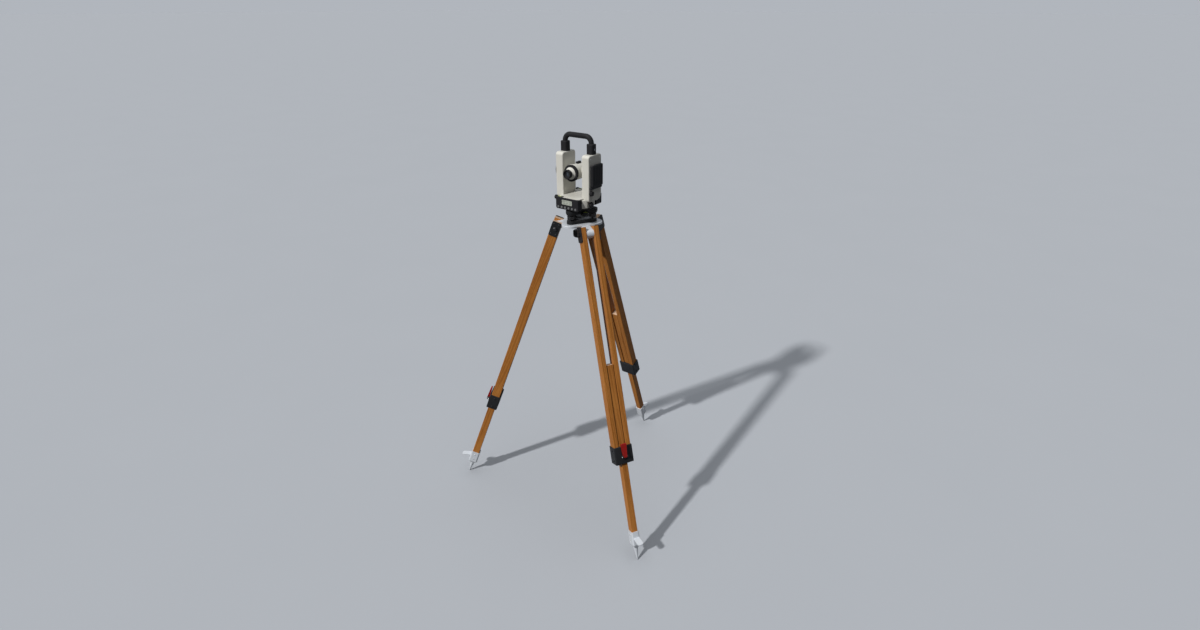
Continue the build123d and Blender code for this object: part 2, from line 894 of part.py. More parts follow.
def battery_pack():
    outside = plinth_face + battery_proud
    lid = along_x(battery_outline(0), plinth_face, outside)
    lid = fillet(lid.faces().sort_by(Axis.X)[-1].edges(), battery_edge)
    rib_pitch = battery_width / (rib_count + 1)
    groove = battery_at * Rectangle(rib_width, battery_height - 2 * rib_margin)
    for number in range(rib_count):
        y = rib_pitch * (number - (rib_count - 1) / 2)
        lid -= Pos(0, y, 0) * along_x(groove, outside - rib_depth, outside)
    inside = plinth_face - battery_depth + part_gap
    pack = along_x(battery_outline(battery_wall + seat_gap), inside, plinth_face)
    latch = Pos(latch_y, battery_bottom - latch_height / 2)
    latch *= RectangleRounded(latch_width, latch_height, battery_edge)
    latch = along_x(latch, standard_outside + seat_gap, plinth_face + battery_edge)
    return lid + pack + latch


def knob_hole(place, face):
    hole = Pos(*place) * Circle(knob_shaft_radius + run_fit)
    return along_x(hole, face - knob_shaft_depth - part_gap, face)


def clamp_ring(place, face):
    ring = along_x(Circle(ring_knob_radius), 0, ring_knob_length)
    ring = fillet(ring.edges(), key_edge)
    circle = ring_knob_radius + knob_flute_radius / 2
    cuts = grooves(knob_flutes, circle, knob_flute_radius, 0, ring_knob_length)
    ring -= [Rot(0, 90, 0) * cut for cut in cuts]
    ring -= along_x(Circle(knob_shaft_radius + run_fit), 0, ring_knob_length)
    return Pos(face + part_gap, *place) * ring


def tangent_knob(place, face):
    knob = fillet(along_x(Circle(tangent_radius), 0, tangent_length).edges(), key_edge)
    circle = tangent_radius + knob_flute_radius / 2
    cuts = grooves(knob_flutes, circle, knob_flute_radius, 0, tangent_length)
    knob -= [Rot(0, 90, 0) * cut for cut in cuts]
    start = ring_knob_length + 2 * part_gap
    knob += along_x(Circle(knob_shaft_radius), -start - knob_shaft_depth, 0)
    return Pos(face + start, *place) * knob


# Telescope


def on_trunnion(piece):
    return Pos(0, 0, trunnion_height) * piece


def telescope_body():
    body = turned_y(
        [
            (0, -cone_end),
            (cone_tip_radius, -cone_end),
            (cone_radius, -ring_seat_end),
            (ring_seat_radius, -ring_seat_end),
            (ring_seat_radius, -barrel_front),
            (barrel_radius, -barrel_front),
            (barrel_radius, barrel_back),
            (tube_radius, tube_start),
            (tube_radius, hood_start),
            (hood_radius, hood_start),
            (hood_radius, objective_end),
            (0, objective_end),
        ]
    )
    hub_end = standard_inside - part_gap
    body += along_x(Circle(hub_radius), -hub_end, hub_end)
    body += along_x(Circle(trunnion_radius), -circle_shoulder(), standard_inside + bearing_depth - part_gap)
    circle_end = circle_shoulder() + 2 * circle_thickness
    body += along_x(Circle(vertical_circle_bore), -circle_end, 0)
    body -= turned_y(
        [
            (0, -cone_end),
            (eyepiece_stem_radius + run_fit, -cone_end),
            (eyepiece_stem_radius + run_fit, -focus_bore_start),
            (focus_bore, -focus_bore_start),
            (focus_bore, focus_bore_end),
            (inner_bore, focus_bore_end),
            (inner_bore, objective_seat),
            (objective_bore, objective_seat),
            (objective_bore, objective_end),
            (0, objective_end),
        ]
    )
    return on_trunnion(body)


def objective_lens():
    radius = objective_bore - seat_gap
    rim = objective_seat + objective_thickness
    crown = rim + objective_crown
    dome_radius = (radius**2 + objective_crown**2) / (2 * objective_crown)
    lens = along_y(Circle(radius), objective_seat, crown)
    return on_trunnion(lens & Pos(0, crown - dome_radius, 0) * Sphere(dome_radius))


def focusing_lens():
    radius = focus_bore - run_fit
    front = lens_centre - lens_thickness / 2
    back = lens_centre + lens_thickness / 2
    cell = turned_y(
        [
            (0, front + lens_dish),
            (lens_opening, front + lens_dish),
            (lens_opening, front),
            (radius, front),
            (radius, back),
            (lens_opening, back),
            (lens_opening, back - lens_dish),
            (0, back - lens_dish),
        ]
    )
    return on_trunnion(cell)


def focus_ring():
    front = part_gap - ring_seat_end
    back = -barrel_front - part_gap
    ring = along_y(Circle(focus_ring_radius), front, back)
    ring = fillet(ring.edges(), key_edge)
    circle = focus_ring_radius + focus_flute_radius / 2
    cuts = grooves(focus_flutes, circle, focus_flute_radius, front, back)
    ring -= [Rot(-90, 0, 0) * cut for cut in cuts]
    return on_trunnion(ring - along_y(Circle(ring_seat_radius + run_fit), front, back))


def eyepiece():
    start = -cone_end - part_gap
    cup = along_y(Circle(eyepiece_radius), -eyepiece_end, start)
    cup = fillet(cup.faces().sort_by(Axis.Y)[0].edges(), eyepiece_edge)
    circle = eyepiece_radius + knob_flute_radius / 2
    grip_end = start - part_gap
    cuts = grooves(eyepiece_flutes, circle, knob_flute_radius, eyepiece_edge - eyepiece_end, grip_end)
    cup -= [Rot(-90, 0, 0) * cut for cut in cuts]
    cup += along_y(Circle(eyepiece_stem_radius), start, start + eyepiece_stem_depth)
    eye = turned_y(
        [
            (0, -eyepiece_end),
            (eye_lens_radius + eye_lens_depth, -eyepiece_end),
            (eye_lens_radius, eye_lens_depth - eyepiece_end),
            (0, eye_lens_depth - eyepiece_end),
        ]
    )
    return on_trunnion(cup - eye)


def telescope_sight():
    top = barrel_radius + sight_height
    body = along_z(RectangleRounded(sight_width, sight_length, sight_edge), 0, top)
    body -= along_y(Circle(barrel_radius + seat_gap), -sight_length, sight_length)
    body = fillet(body.faces().sort_by(Axis.Z)[-1].edges(), sight_edge - seat_gap)
    notch = Rectangle(sight_width, sight_notch)
    body -= along_z(notch, top - sight_notch_depth, top)
    bore_height = top - sight_notch_depth - sight_bore - part_gap
    body -= along_y(Pos(0, bore_height) * Circle(sight_bore), -sight_length, sight_length)
    return on_trunnion(body)


# Carrying handle


def carrying_handle():
    foot = standard_top + socket_height / 2
    path = FilletPolyline(
        (-handle_foot_x, foot),
        (-handle_foot_x, handle_height_at),
        (handle_foot_x, handle_height_at),
        (handle_foot_x, foot),
        radius=handle_bend,
    )
    path = Plane.XZ * path
    handle = sweep(Pos(-handle_foot_x, 0, foot) * Circle(handle_radius), path)
    section = RectangleRounded(socket_width, socket_width, socket_corner)
    socket = along_z(section, standard_top, standard_top + socket_height)
    socket = fillet(socket.faces().sort_by(Axis.Z)[-1].edges(), socket_edge)
    for side in (-1, 1):
        handle += Pos(side * handle_foot_x, 0, 0) * socket
    return handle


def parts():
    pieces = {
        "tripod_head": tripod_head(),
        "hinge_bolts": hinge_bolts(),
        "fixing_arm": fixing_arm(),
        "fixing_screw": fixing_screw(),
        "fixing_knob": fixing_knob(),
        "tribrach_base_plate": tribrach_base_plate(),
        "tribrach_body": tribrach_body(),
        "tribrach_lock_knob": tribrach_lock_knob(),
        "circular_level": circular_level(),
        "lower_housing": lower_housing(),
        "vertical_spindle": vertical_spindle(),
        "horizontal_circle": horizontal_circle(),
        "alidade_base": alidade_base(),
        "display_panel_front": display_panel_front(),
        "display_panel_rear": display_panel_rear(),
        "display_windows": display_windows(),
        "plate_levels": plate_levels(),
        "standard_left": standard_left(),
        "standard_right": standard_right(),
        "vertical_circle": vertical_circle(),
        "vertical_circle_cover": vertical_circle_cover(),
        "battery_pack": battery_pack(),
        "vertical_clamp_ring": clamp_ring(vertical_knob_at, standard_outside),
        "vertical_tangent_knob": tangent_knob(vertical_knob_at, standard_outside),
        "horizontal_clamp_ring": clamp_ring(horizontal_knob_at, boss_reach),
        "horizontal_tangent_knob": tangent_knob(horizontal_knob_at, boss_reach),
        "telescope_body": telescope_body(),
        "objective_lens": objective_lens(),
        "focusing_lens": focusing_lens(),
        "focus_ring": focus_ring(),
        "eyepiece": eyepiece(),
        "telescope_sight": telescope_sight(),
        "carrying_handle": carrying_handle(),
    }
    leg = {
        "leg_bars": leg_bars(),
        "hinge_plates": hinge_plates(),
        "leg_clamp": leg_clamp(),
        "clamp_lever": clamp_lever(),
        "leg_slat": leg_slat(),
        "foot_shoe": foot_shoe(),
    }
    for side, azimuth in leg_azimuths.items():
        for name, piece in leg.items():
            pieces[f"{name}_{side}"] = place_leg(azimuth, piece)
    for side, azimuth in corner_azimuths.items():
        pieces[f"foot_screw_{side}"] = foot_screw(azimuth)
    for number, x in enumerate(key_places(), start=1):
        pieces[f"key_{number}"] = key(x)
    return pieces


os.makedirs("parts", exist_ok=True)
for name, piece in parts().items():
    shape = Compound(piece) if isinstance(piece, list) else piece
    export_step(shape, f"parts/{name}.step")
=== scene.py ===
import json
import math

import bmesh
import bpy
from mathutils import Matrix, Vector


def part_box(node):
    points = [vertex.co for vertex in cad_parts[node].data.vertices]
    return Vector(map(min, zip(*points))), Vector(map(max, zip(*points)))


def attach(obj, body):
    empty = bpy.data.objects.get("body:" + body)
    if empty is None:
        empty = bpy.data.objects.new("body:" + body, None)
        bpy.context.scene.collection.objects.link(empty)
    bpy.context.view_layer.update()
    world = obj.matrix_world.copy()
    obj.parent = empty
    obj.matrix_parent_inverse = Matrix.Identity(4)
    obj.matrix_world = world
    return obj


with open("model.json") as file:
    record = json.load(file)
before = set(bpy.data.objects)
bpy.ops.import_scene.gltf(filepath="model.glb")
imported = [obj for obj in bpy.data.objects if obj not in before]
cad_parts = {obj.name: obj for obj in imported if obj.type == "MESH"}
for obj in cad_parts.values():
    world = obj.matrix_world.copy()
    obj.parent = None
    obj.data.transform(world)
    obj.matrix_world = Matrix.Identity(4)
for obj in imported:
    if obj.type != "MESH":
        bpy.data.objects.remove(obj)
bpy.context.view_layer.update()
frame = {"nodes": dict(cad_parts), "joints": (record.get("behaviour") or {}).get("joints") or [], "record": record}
nodes = frame["nodes"]
joints = {joint["name"]: joint for joint in frame["joints"]}
legSides = ("left", "right", "back")
mm = 0.001  # pieces are sized in millimetres, finishes and the stage in metres


# node helpers

origin = (0.0, 0.0, 0.0)
unitRange = (0.0, 1.0)
noiseRange = (0.3, 0.7)  # nearly all of a noise lies between these
noiseMiddle = (0.5, 0.5, 0.5)


def setInputs(tree, node, inputs):  # a socket is linked, a plain value is set
    for key, value in inputs.items():
        if isinstance(value, bpy.types.NodeSocket):
            tree.links.new(value, node.inputs[key])
        else:
            node.inputs[key].default_value = value


def addNode(tree, kind, inputs=None, **settings):
    node = tree.nodes.new("ShaderNode" + kind)
    for key, value in settings.items():
        setattr(node, key, value)
    setInputs(tree, node, inputs or {})
    return node


def objectPlace(tree):
    return addNode(tree, "TexCoord").outputs["Object"]


def addNoise(tree, vector, scale, detail, distortion=0.0):
    inputs = {"Vector": vector, "Scale": scale, "Detail": detail, "Distortion": distortion}
    return addNode(tree, "TexNoise", inputs).outputs


def calculate(tree, operation, first, second=0.0, clamp=False):
    node = addNode(tree, "Math", {0: first, 1: second}, operation=operation, use_clamp=clamp)
    return node.outputs[0]


def remap(tree, value, fromRange, toRange=unitRange):
    limits = dict(zip(("From Min", "From Max", "To Min", "To Max"), (*fromRange, *toRange)))
    return addNode(tree, "MapRange", {"Value": value, **limits}).outputs[0]


def mixColour(tree, factor, first, second, blend="MIX"):
    inputs = {0: factor, 6: first, 7: second}
    return addNode(tree, "Mix", inputs, data_type="RGBA", blend_type=blend).outputs[2]


def socketKind(value):  # a plain number, a vector of three or a colour of four
    size = len(value) if isinstance(value, tuple) else 1
    return {1: "NodeSocketFloat", 3: "NodeSocketVector", 4: "NodeSocketColor"}[size]


def newGroup(name, inputs, outputs):
    group = bpy.data.node_groups.new(name, "ShaderNodeTree")
    for label, value in inputs.items():
        socket = group.interface.new_socket(label, in_out="INPUT", socket_type=socketKind(value))
        socket.default_value = value
    for label, kind in outputs.items():
        group.interface.new_socket(label, in_out="OUTPUT", socket_type="NodeSocket" + kind)
    return group, group.nodes.new("NodeGroupInput").outputs, group.nodes.new("NodeGroupOutput")


def addGroup(tree, name, inputs):
    return addNode(tree, "Group", inputs, node_tree=bpy.data.node_groups[name]).outputs


# shared effects

edgeWearLook = dict(
    width=0.0008, breakup=160.0, amount=0.5, rim=(0.995, 0.86), chips=(0.40, 0.66), detail=4.0, samples=4,
)


def buildEdgeWear(look):  # mask along the edges, broken up by a noise
    group, source, sink = newGroup(
        "edgeWear",
        {"Vector": origin, "Width": look["width"], "Breakup": look["breakup"], "Amount": look["amount"]},
        {"Mask": "Float"},
    )
    rounded = addNode(group, "Bevel", {"Radius": source["Width"]}, samples=look["samples"]).outputs[0]
    flat = addNode(group, "NewGeometry").outputs["Normal"]
    facing = addNode(group, "VectorMath", {0: rounded, 1: flat}, operation="DOT_PRODUCT").outputs["Value"]
    rim = remap(group, facing, look["rim"])
    noise = addNoise(group, source["Vector"], source["Breakup"], look["detail"])[0]
    chipped = calculate(group, "MULTIPLY", rim, remap(group, noise, look["chips"]))
    setInputs(group, sink, {"Mask": calculate(group, "MULTIPLY", chipped, source["Amount"], True)})


mouldGrainLook = dict(scale=900.0, pebble=-0.6, fineness=1.7, fineDetail=3.0)


def buildMouldGrain(look):  # pebbled skin of a moulding or a coat of paint
    group, source, sink = newGroup(
        "mouldGrain", {"Vector": origin, "Scale": look["scale"]}, {"Height": "Float", "Tone": "Float"}
    )
    cells = addNode(group, "TexVoronoi", {"Vector": source["Vector"], "Scale": source["Scale"]}).outputs[0]
    pebble = calculate(group, "MULTIPLY", cells, look["pebble"])
    fineScale = calculate(group, "MULTIPLY", source["Scale"], look["fineness"])
    fine = addNoise(group, source["Vector"], fineScale, look["fineDetail"])[0]
    setInputs(group, sink, {"Height": calculate(group, "ADD", pebble, fine), "Tone": fine})


handlingLook = dict(
    scale=14.0, detail=3.0, smearing=7.0, smearDetail=5.0, smearDistortion=1.2, smear=(0.45, 0.75),
    dust=(0.35, 0.7), dustFacing=(0.55, 0.98),
)


def buildHandling(look):  # slow changes of tone, smears, and dust on what faces up
    group, source, sink = newGroup(
        "handling",
        {"Vector": origin, "Scale": look["scale"]},
        {"Tone": "Float", "Smear": "Float", "Dust": "Float"},
    )
    tone = addNoise(group, source["Vector"], source["Scale"], look["detail"])[0]
    smearScale = calculate(group, "MULTIPLY", source["Scale"], look["smearing"])
    smear = addNoise(group, source["Vector"], smearScale, look["smearDetail"], look["smearDistortion"])[0]
    normal = addNode(group, "TexCoord").outputs["Normal"]
    up = remap(group, addNode(group, "SeparateXYZ", {0: normal}).outputs["Z"], look["dustFacing"])
    dust = calculate(group, "MULTIPLY", up, remap(group, smear, look["dust"]))
    setInputs(group, sink, {"Tone": tone, "Smear": remap(group, smear, look["smear"]), "Dust": dust})


woodGrainLook = dict(
    pale=(0.5, 0.25, 0.1, 1.0), dark=(0.2, 0.08, 0.03, 1.0), stretch=(1.0, 1.0, 0.035),
    swayScale=28.0, swayDetail=2.0, sway=0.035,
    ringScale=150.0, ringDistortion=1.5, ringDetail=2.0, rings=(0.25, 1.0), ringShare=0.5,
    fibreScale=900.0, fibreDetail=4.0, fibres=(0.35, 0.7), fibreShare=(0.0, 0.4), fibreHeight=0.4,
    patchScale=6.0, patchDetail=2.0, patchShare=(-0.15, 0.2),
    poreStretch=(1.0, 1.0, 0.05), poreScale=1700.0, poreDetail=1.0, pores=(0.62, 0.72), poreShade=0.55,
    roughness=(0.36, 0.52),
)


def buildWoodGrain(look):  # straight grain along the local Z of a bar, with growth rings and pores
    group, source, sink = newGroup(
        "woodGrain",
        {"Vector": origin, "Pale": look["pale"], "Dark": look["dark"], "Ring Scale": look["ringScale"]},
        {"Color": "Color", "Roughness": "Float", "Height": "Float"},
    )
    drawn = addNode(group, "Mapping", {"Vector": source["Vector"], "Scale": look["stretch"]}).outputs[0]
    sway = addNoise(group, drawn, look["swayScale"], look["swayDetail"])["Color"]
    drift = addNode(group, "VectorMath", {0: sway, 1: noiseMiddle}, operation="SUBTRACT").outputs[0]
    drift = addNode(group, "VectorMath", {0: drift, "Scale": look["sway"]}, operation="SCALE").outputs[0]
    swayed = addNode(group, "VectorMath", {0: drawn, 1: drift}, operation="ADD").outputs[0]
    ringInputs = {"Vector": swayed, "Scale": source["Ring Scale"]}
    ringInputs.update({"Distortion": look["ringDistortion"], "Detail": look["ringDetail"]})
    rings = addNode(group, "TexWave", ringInputs, bands_direction="DIAGONAL").outputs["Fac"]
    fibre = addNoise(group, drawn, look["fibreScale"], look["fibreDetail"])[0]
    patches = addNoise(group, source["Vector"], look["patchScale"], look["patchDetail"])[0]
    poreInputs = {"Vector": source["Vector"], "Scale": look["poreStretch"]}
    pores = addNode(group, "Mapping", poreInputs).outputs[0]
    pores = remap(group, addNoise(group, pores, look["poreScale"], look["poreDetail"])[0], look["pores"])
    blend = calculate(group, "MULTIPLY", remap(group, rings, look["rings"]), look["ringShare"])
    blend = calculate(group, "ADD", blend, remap(group, fibre, look["fibres"], look["fibreShare"]))
    blend = calculate(group, "ADD", blend, remap(group, patches, noiseRange, look["patchShare"]), True)
    colour = mixColour(group, blend, source["Pale"], source["Dark"])
    shade = calculate(group, "MULTIPLY", pores, look["poreShade"])
    raised = calculate(group, "MULTIPLY", fibre, look["fibreHeight"])
    setInputs(group, sink, {
        "Color": mixColour(group, shade, colour, source["Dark"], "MULTIPLY"),
        "Roughness": remap(group, fibre, noiseRange, look["roughness"]),
        "Height": calculate(group, "SUBTRACT", raised, pores),
    })


turnedLinesLook = dict(scale=2600.0, detail=2.0)


def buildTurnedLines(look):  # fine lines that a lathe tool leaves round an axis
    group, source, sink = newGroup(
        "turnedLines", {"Vector": origin, "Scale": look["scale"]}, {"Height": "Float", "Tone": "Float"}
    )
    lines = addNoise(group, source["Vector"], source["Scale"], look["detail"])[0]
    setInputs(group, sink, {"Height": lines, "Tone": remap(group, lines, noiseRange)})


buildEdgeWear(edgeWearLook)
buildMouldGrain(mouldGrainLook)
buildHandling(handlingLook)
buildWoodGrain(woodGrainLook)
buildTurnedLines(turnedLinesLook)
print("effects:", len(bpy.data.node_groups), "node groups")


# finishes

def newMaterial(name):
    material = bpy.data.materials.new(name)
    material.use_nodes = True
    tree = material.node_tree
    return material, tree, tree.nodes["Principled BSDF"]


coatedSkin = dict(grainRoughness=(-0.03, 0.03), coatRoughness=0.2)  # what all coats share


def coatedFinish(name, look):
    material, tree, shader = newMaterial(name)
    place = objectPlace(tree)
    grain = addGroup(tree, "mouldGrain", {"Vector": place, "Scale": look["grainScale"]})
    handling = addGroup(tree, "handling", {"Vector": place, "Scale": look["toneScale"]})
    wearInputs = {"Vector": place, "Width": look["wearWidth"], "Amount": look["wear"]}
    wear = addGroup(tree, "edgeWear", wearInputs)["Mask"]
    colour = mixColour(tree, remap(tree, handling["Tone"], noiseRange), look["colour"], look["toneColour"])
    dust = calculate(tree, "MULTIPLY", handling["Dust"], look["dust"])
    colour = mixColour(tree, dust, colour, look["dustColour"])
    rough = remap(tree, handling["Smear"], unitRange, look["roughness"])
    grainRough = remap(tree, grain["Tone"], noiseRange, coatedSkin["grainRoughness"])
    bump = {"Height": grain["Height"], "Strength": look["grainStrength"], "Distance": look["grainDepth"]}
    metal = look["metallic"]
    if look["wornMetal"] > 0:
        metal = remap(tree, wear, unitRange, (look["metallic"], look["wornMetal"]))
    setInputs(tree, shader, {
        "Base Color": mixColour(tree, wear, colour, look["wornColour"]),
        "Roughness": calculate(tree, "ADD", rough, grainRough, True),
        "Normal": addNode(tree, "Bump", bump).outputs[0],
        "Metallic": metal,
        "Specular IOR Level": look["specular"],
        "Coat Weight": look["coat"],
        "Coat Roughness": coatedSkin["coatRoughness"],
    })
    return material


ivoryCoat = dict(
    colour=(0.63, 0.622, 0.575, 1), toneColour=(0.60, 0.59, 0.54, 1), wornColour=(0.44, 0.43, 0.40, 1),
    dustColour=(0.58, 0.55, 0.49, 1), dust=0.08, roughness=(0.42, 0.55), metallic=0.0, wornMetal=0.0,
    grainScale=1100.0, grainStrength=0.25, grainDepth=0.0004, toneScale=16.0, wearWidth=0.0009, wear=0.55,
    coat=0.0, specular=0.2,
)
blackMoulding = dict(
    colour=(0.018, 0.018, 0.020, 1), toneColour=(0.024, 0.024, 0.0265, 1),
    wornColour=(0.09, 0.09, 0.09, 1), dustColour=(0.08, 0.075, 0.07, 1), dust=0.12,
    roughness=(0.42, 0.60), metallic=0.0, wornMetal=0.0,
    grainScale=1300.0, grainStrength=0.3, grainDepth=0.0004, toneScale=18.0, wearWidth=0.0007, wear=0.6,
    coat=0.0, specular=0.06,
)
blackCasting = dict(
    colour=(0.016, 0.0165, 0.0185, 1), toneColour=(0.022, 0.023, 0.025, 1),
    wornColour=(0.24, 0.24, 0.24, 1), dustColour=(0.09, 0.085, 0.075, 1), dust=0.16,
    roughness=(0.38, 0.56), metallic=0.1, wornMetal=0.7,
    grainScale=700.0, grainStrength=0.35, grainDepth=0.0006, toneScale=14.0, wearWidth=0.0008, wear=0.5,
    coat=0.0, specular=0.09,
)
blackSheet = dict(
    colour=(0.010, 0.0105, 0.012, 1), toneColour=(0.015, 0.0155, 0.017, 1),
    wornColour=(0.26, 0.255, 0.25, 1), dustColour=(0.09, 0.085, 0.075, 1), dust=0.12,
    roughness=(0.34, 0.52), metallic=0.0, wornMetal=0.75,
    grainScale=420.0, grainStrength=0.12, grainDepth=0.0004, toneScale=20.0, wearWidth=0.0009, wear=0.65,
    coat=0.03, specular=0.16,
)
silverCasting = dict(
    colour=(0.65, 0.685, 0.735, 1), toneColour=(0.58, 0.615, 0.665, 1), wornColour=(0.78, 0.80, 0.82, 1),
    dustColour=(0.60, 0.60, 0.58, 1), dust=0.15, roughness=(0.36, 0.52), metallic=0.15, wornMetal=0.8,
    grainScale=520.0, grainStrength=0.3, grainDepth=0.0006, toneScale=11.0, wearWidth=0.001, wear=0.6,
    coat=0.0, specular=0.3,
)
screwAnodised = dict(
    colour=(0.014, 0.014, 0.016, 1), toneColour=(0.022, 0.022, 0.024, 1),
    wornColour=(0.36, 0.36, 0.37, 1), dustColour=(0.09, 0.085, 0.08, 1), dust=0.1,
    roughness=(0.30, 0.44), metallic=0.3, wornMetal=0.9,
    grainScale=1900.0, grainStrength=0.12, grainDepth=0.0002, toneScale=30.0, wearWidth=0.0005, wear=0.65,
    coat=0.0, specular=0.35,
)
leverEnamel = dict(
    colour=(0.30, 0.010, 0.008, 1), toneColour=(0.24, 0.008, 0.006, 1), wornColour=(0.38, 0.28, 0.26, 1),
    dustColour=(0.26, 0.09, 0.08, 1), dust=0.12, roughness=(0.28, 0.44), metallic=0.0, wornMetal=0.7,
    grainScale=500.0, grainStrength=0.08, grainDepth=0.0003, toneScale=25.0, wearWidth=0.0009, wear=0.7,
    coat=0.05, specular=0.14,
)
keyRubber = dict(
    colour=(0.118, 0.121, 0.125, 1), toneColour=(0.142, 0.145, 0.15, 1), wornColour=(0.21, 0.21, 0.21, 1),
    dustColour=(0.17, 0.165, 0.16, 1), dust=0.15, roughness=(0.55, 0.7), metallic=0.0, wornMetal=0.0,
    grainScale=2200.0, grainStrength=0.2, grainDepth=0.0002, toneScale=60.0, wearWidth=0.0004, wear=0.5,
    coat=0.0, specular=0.3,
)
batteryPad = dict(colour=blackMoulding["colour"], start=0.0003)


def blackenPad(material, look):  # the pad on the right standard's face is black like the battery
    tree = material.node_tree
    paint = tree.nodes["Principled BSDF"].inputs["Base Color"]
    across = addNode(tree, "SeparateXYZ", {0: objectPlace(tree)}).outputs["X"]
    face = -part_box("standard_left")[0].x  # the left standard mirrors the right one, without the pad
    pad = calculate(tree, "GREATER_THAN", across, face + look["start"])
    tree.links.new(mixColour(tree, pad, paint.links[0].from_socket, look["colour"]), paint)
    return material


turnedSkin = dict(stain=0.4, lineStrength=0.15, lineDepth=0.0002)  # what all turned steel shares


def turnedSteel(name, look):
    material, tree, shader = newMaterial(name)
    place = objectPlace(tree)
    stretched = addNode(tree, "Mapping", {"Vector": place, "Scale": look["stretch"]}).outputs[0]
    lines = addGroup(tree, "turnedLines", {"Vector": stretched, "Scale": look["lineScale"]})
    handling = addGroup(tree, "handling", {"Vector": place, "Scale": look["toneScale"]})
    colour = mixColour(tree, lines["Tone"], look["colour"], look["toneColour"])
    stain = calculate(tree, "MULTIPLY", handling["Smear"], turnedSkin["stain"])
    bump = {"Strength": turnedSkin["lineStrength"], "Distance": turnedSkin["lineDepth"]}
    setInputs(tree, shader, {
        "Base Color": mixColour(tree, stain, colour, look["stainColour"]),
        "Roughness": remap(tree, handling["Smear"], unitRange, look["roughness"]),
        "Normal": addNode(tree, "Bump", {"Height": lines["Height"], **bump}).outputs[0],
        "Metallic": 1.0,
    })
    return material


brightSteel = dict(
    colour=(0.58, 0.58, 0.59, 1), toneColour=(0.66, 0.66, 0.67, 1), stainColour=(0.40, 0.38, 0.35, 1),
    roughness=(0.24, 0.42), stretch=(1.0, 1.0, 6.0), lineScale=1500.0, toneScale=40.0,
)
darkSteel = dict(
    colour=(0.035, 0.035, 0.038, 1), toneColour=(0.05, 0.05, 0.054, 1),
    stainColour=(0.03, 0.028, 0.025, 1),
    roughness=(0.45, 0.60), stretch=(1.0, 1.0, 6.0), lineScale=1500.0, toneScale=40.0,
)
springSteel = dict(
    colour=(0.075, 0.077, 0.082, 1), toneColour=(0.10, 0.102, 0.108, 1),
    stainColour=(0.05, 0.048, 0.045, 1),
    roughness=(0.36, 0.52), stretch=(1.0, 8.0, 1.0), lineScale=900.0, toneScale=30.0,
)


def legPlace(side):  # hinge at the origin, X outward, Z up along the leg
    spread, extend = joints[f"leg_{side}_spread"], joints[f"leg_{side}_extend"]
    up = -Vector(extend["axis"])
    across = -Vector(spread["axis"])
    place = Matrix((across.cross(up), across, up)).transposed().to_4x4()
    place.translation = Vector(spread["pos_m"])
    return place


oiledWood = dict(
    pale=(0.445, 0.183, 0.042, 1), dark=(0.268, 0.094, 0.018, 1), ringScale=62.0,
    bumpDepth=0.0003, bumpStrength=0.35, coat=0.01, coatRoughness=0.3, specular=0.08,
    wornColour=(0.49, 0.24, 0.08, 1), wearWidth=0.0012, wearBreakup=70.0, wear=0.45,
    endPale=(0.66, 0.47, 0.33, 1), endDark=(0.52, 0.35, 0.23, 1), endFacing=(0.75, 0.9),
    endRingScale=130.0, endRingDistortion=2.0, endRingDetail=2.0,
)


def woodFinish(name, look, side, shift):
    material, tree, shader = newMaterial(name)
    toLeg = legPlace(side).inverted()
    spot = {"Location": toLeg.translation + Vector(shift), "Rotation": toLeg.to_euler()}
    local = addNode(tree, "Mapping", {"Vector": objectPlace(tree), **spot}).outputs[0]
    grain = addGroup(
        tree, "woodGrain",
        {"Vector": local, "Pale": look["pale"], "Dark": look["dark"], "Ring Scale": look["ringScale"]},
    )
    wearInputs = {"Width": look["wearWidth"], "Breakup": look["wearBreakup"], "Amount": look["wear"]}
    wear = addGroup(tree, "edgeWear", {"Vector": local, **wearInputs})["Mask"]
    colour = mixColour(tree, wear, grain["Color"], look["wornColour"])
    normal = addNode(tree, "TexCoord").outputs["Normal"]
    along = -Vector(joints[f"leg_{side}_extend"]["axis"])
    facing = addNode(tree, "VectorMath", {0: normal, 1: along}, operation="DOT_PRODUCT").outputs["Value"]
    endMask = remap(tree, calculate(tree, "ABSOLUTE", facing), look["endFacing"])
    ringInputs = {"Vector": local, "Scale": look["endRingScale"]}
    ringInputs.update({"Distortion": look["endRingDistortion"], "Detail": look["endRingDetail"]})
    endRings = addNode(tree, "TexWave", ringInputs, wave_type="RINGS").outputs["Fac"]
    endColour = mixColour(tree, endRings, look["endPale"], look["endDark"])
    bump = {"Height": grain["Height"], "Strength": look["bumpStrength"], "Distance": look["bumpDepth"]}
    setInputs(tree, shader, {
        "Base Color": mixColour(tree, endMask, colour, endColour),
        "Roughness": grain["Roughness"],
        "Normal": addNode(tree, "Bump", bump).outputs[0],
        "Specular IOR Level": look["specular"],
        "Coat Weight": look["coat"],
        "Coat Roughness": look["coatRoughness"],
    })
    return material


crystalPane = dict(
    colour=(0.42, 0.45, 0.39, 1), edgeColour=(0.36, 0.385, 0.335, 1), cell=1500.0, cellShade=0.12,
    toneScale=30.0, roughness=(0.14, 0.26), coat=0.6, coatRoughness=0.06,
)


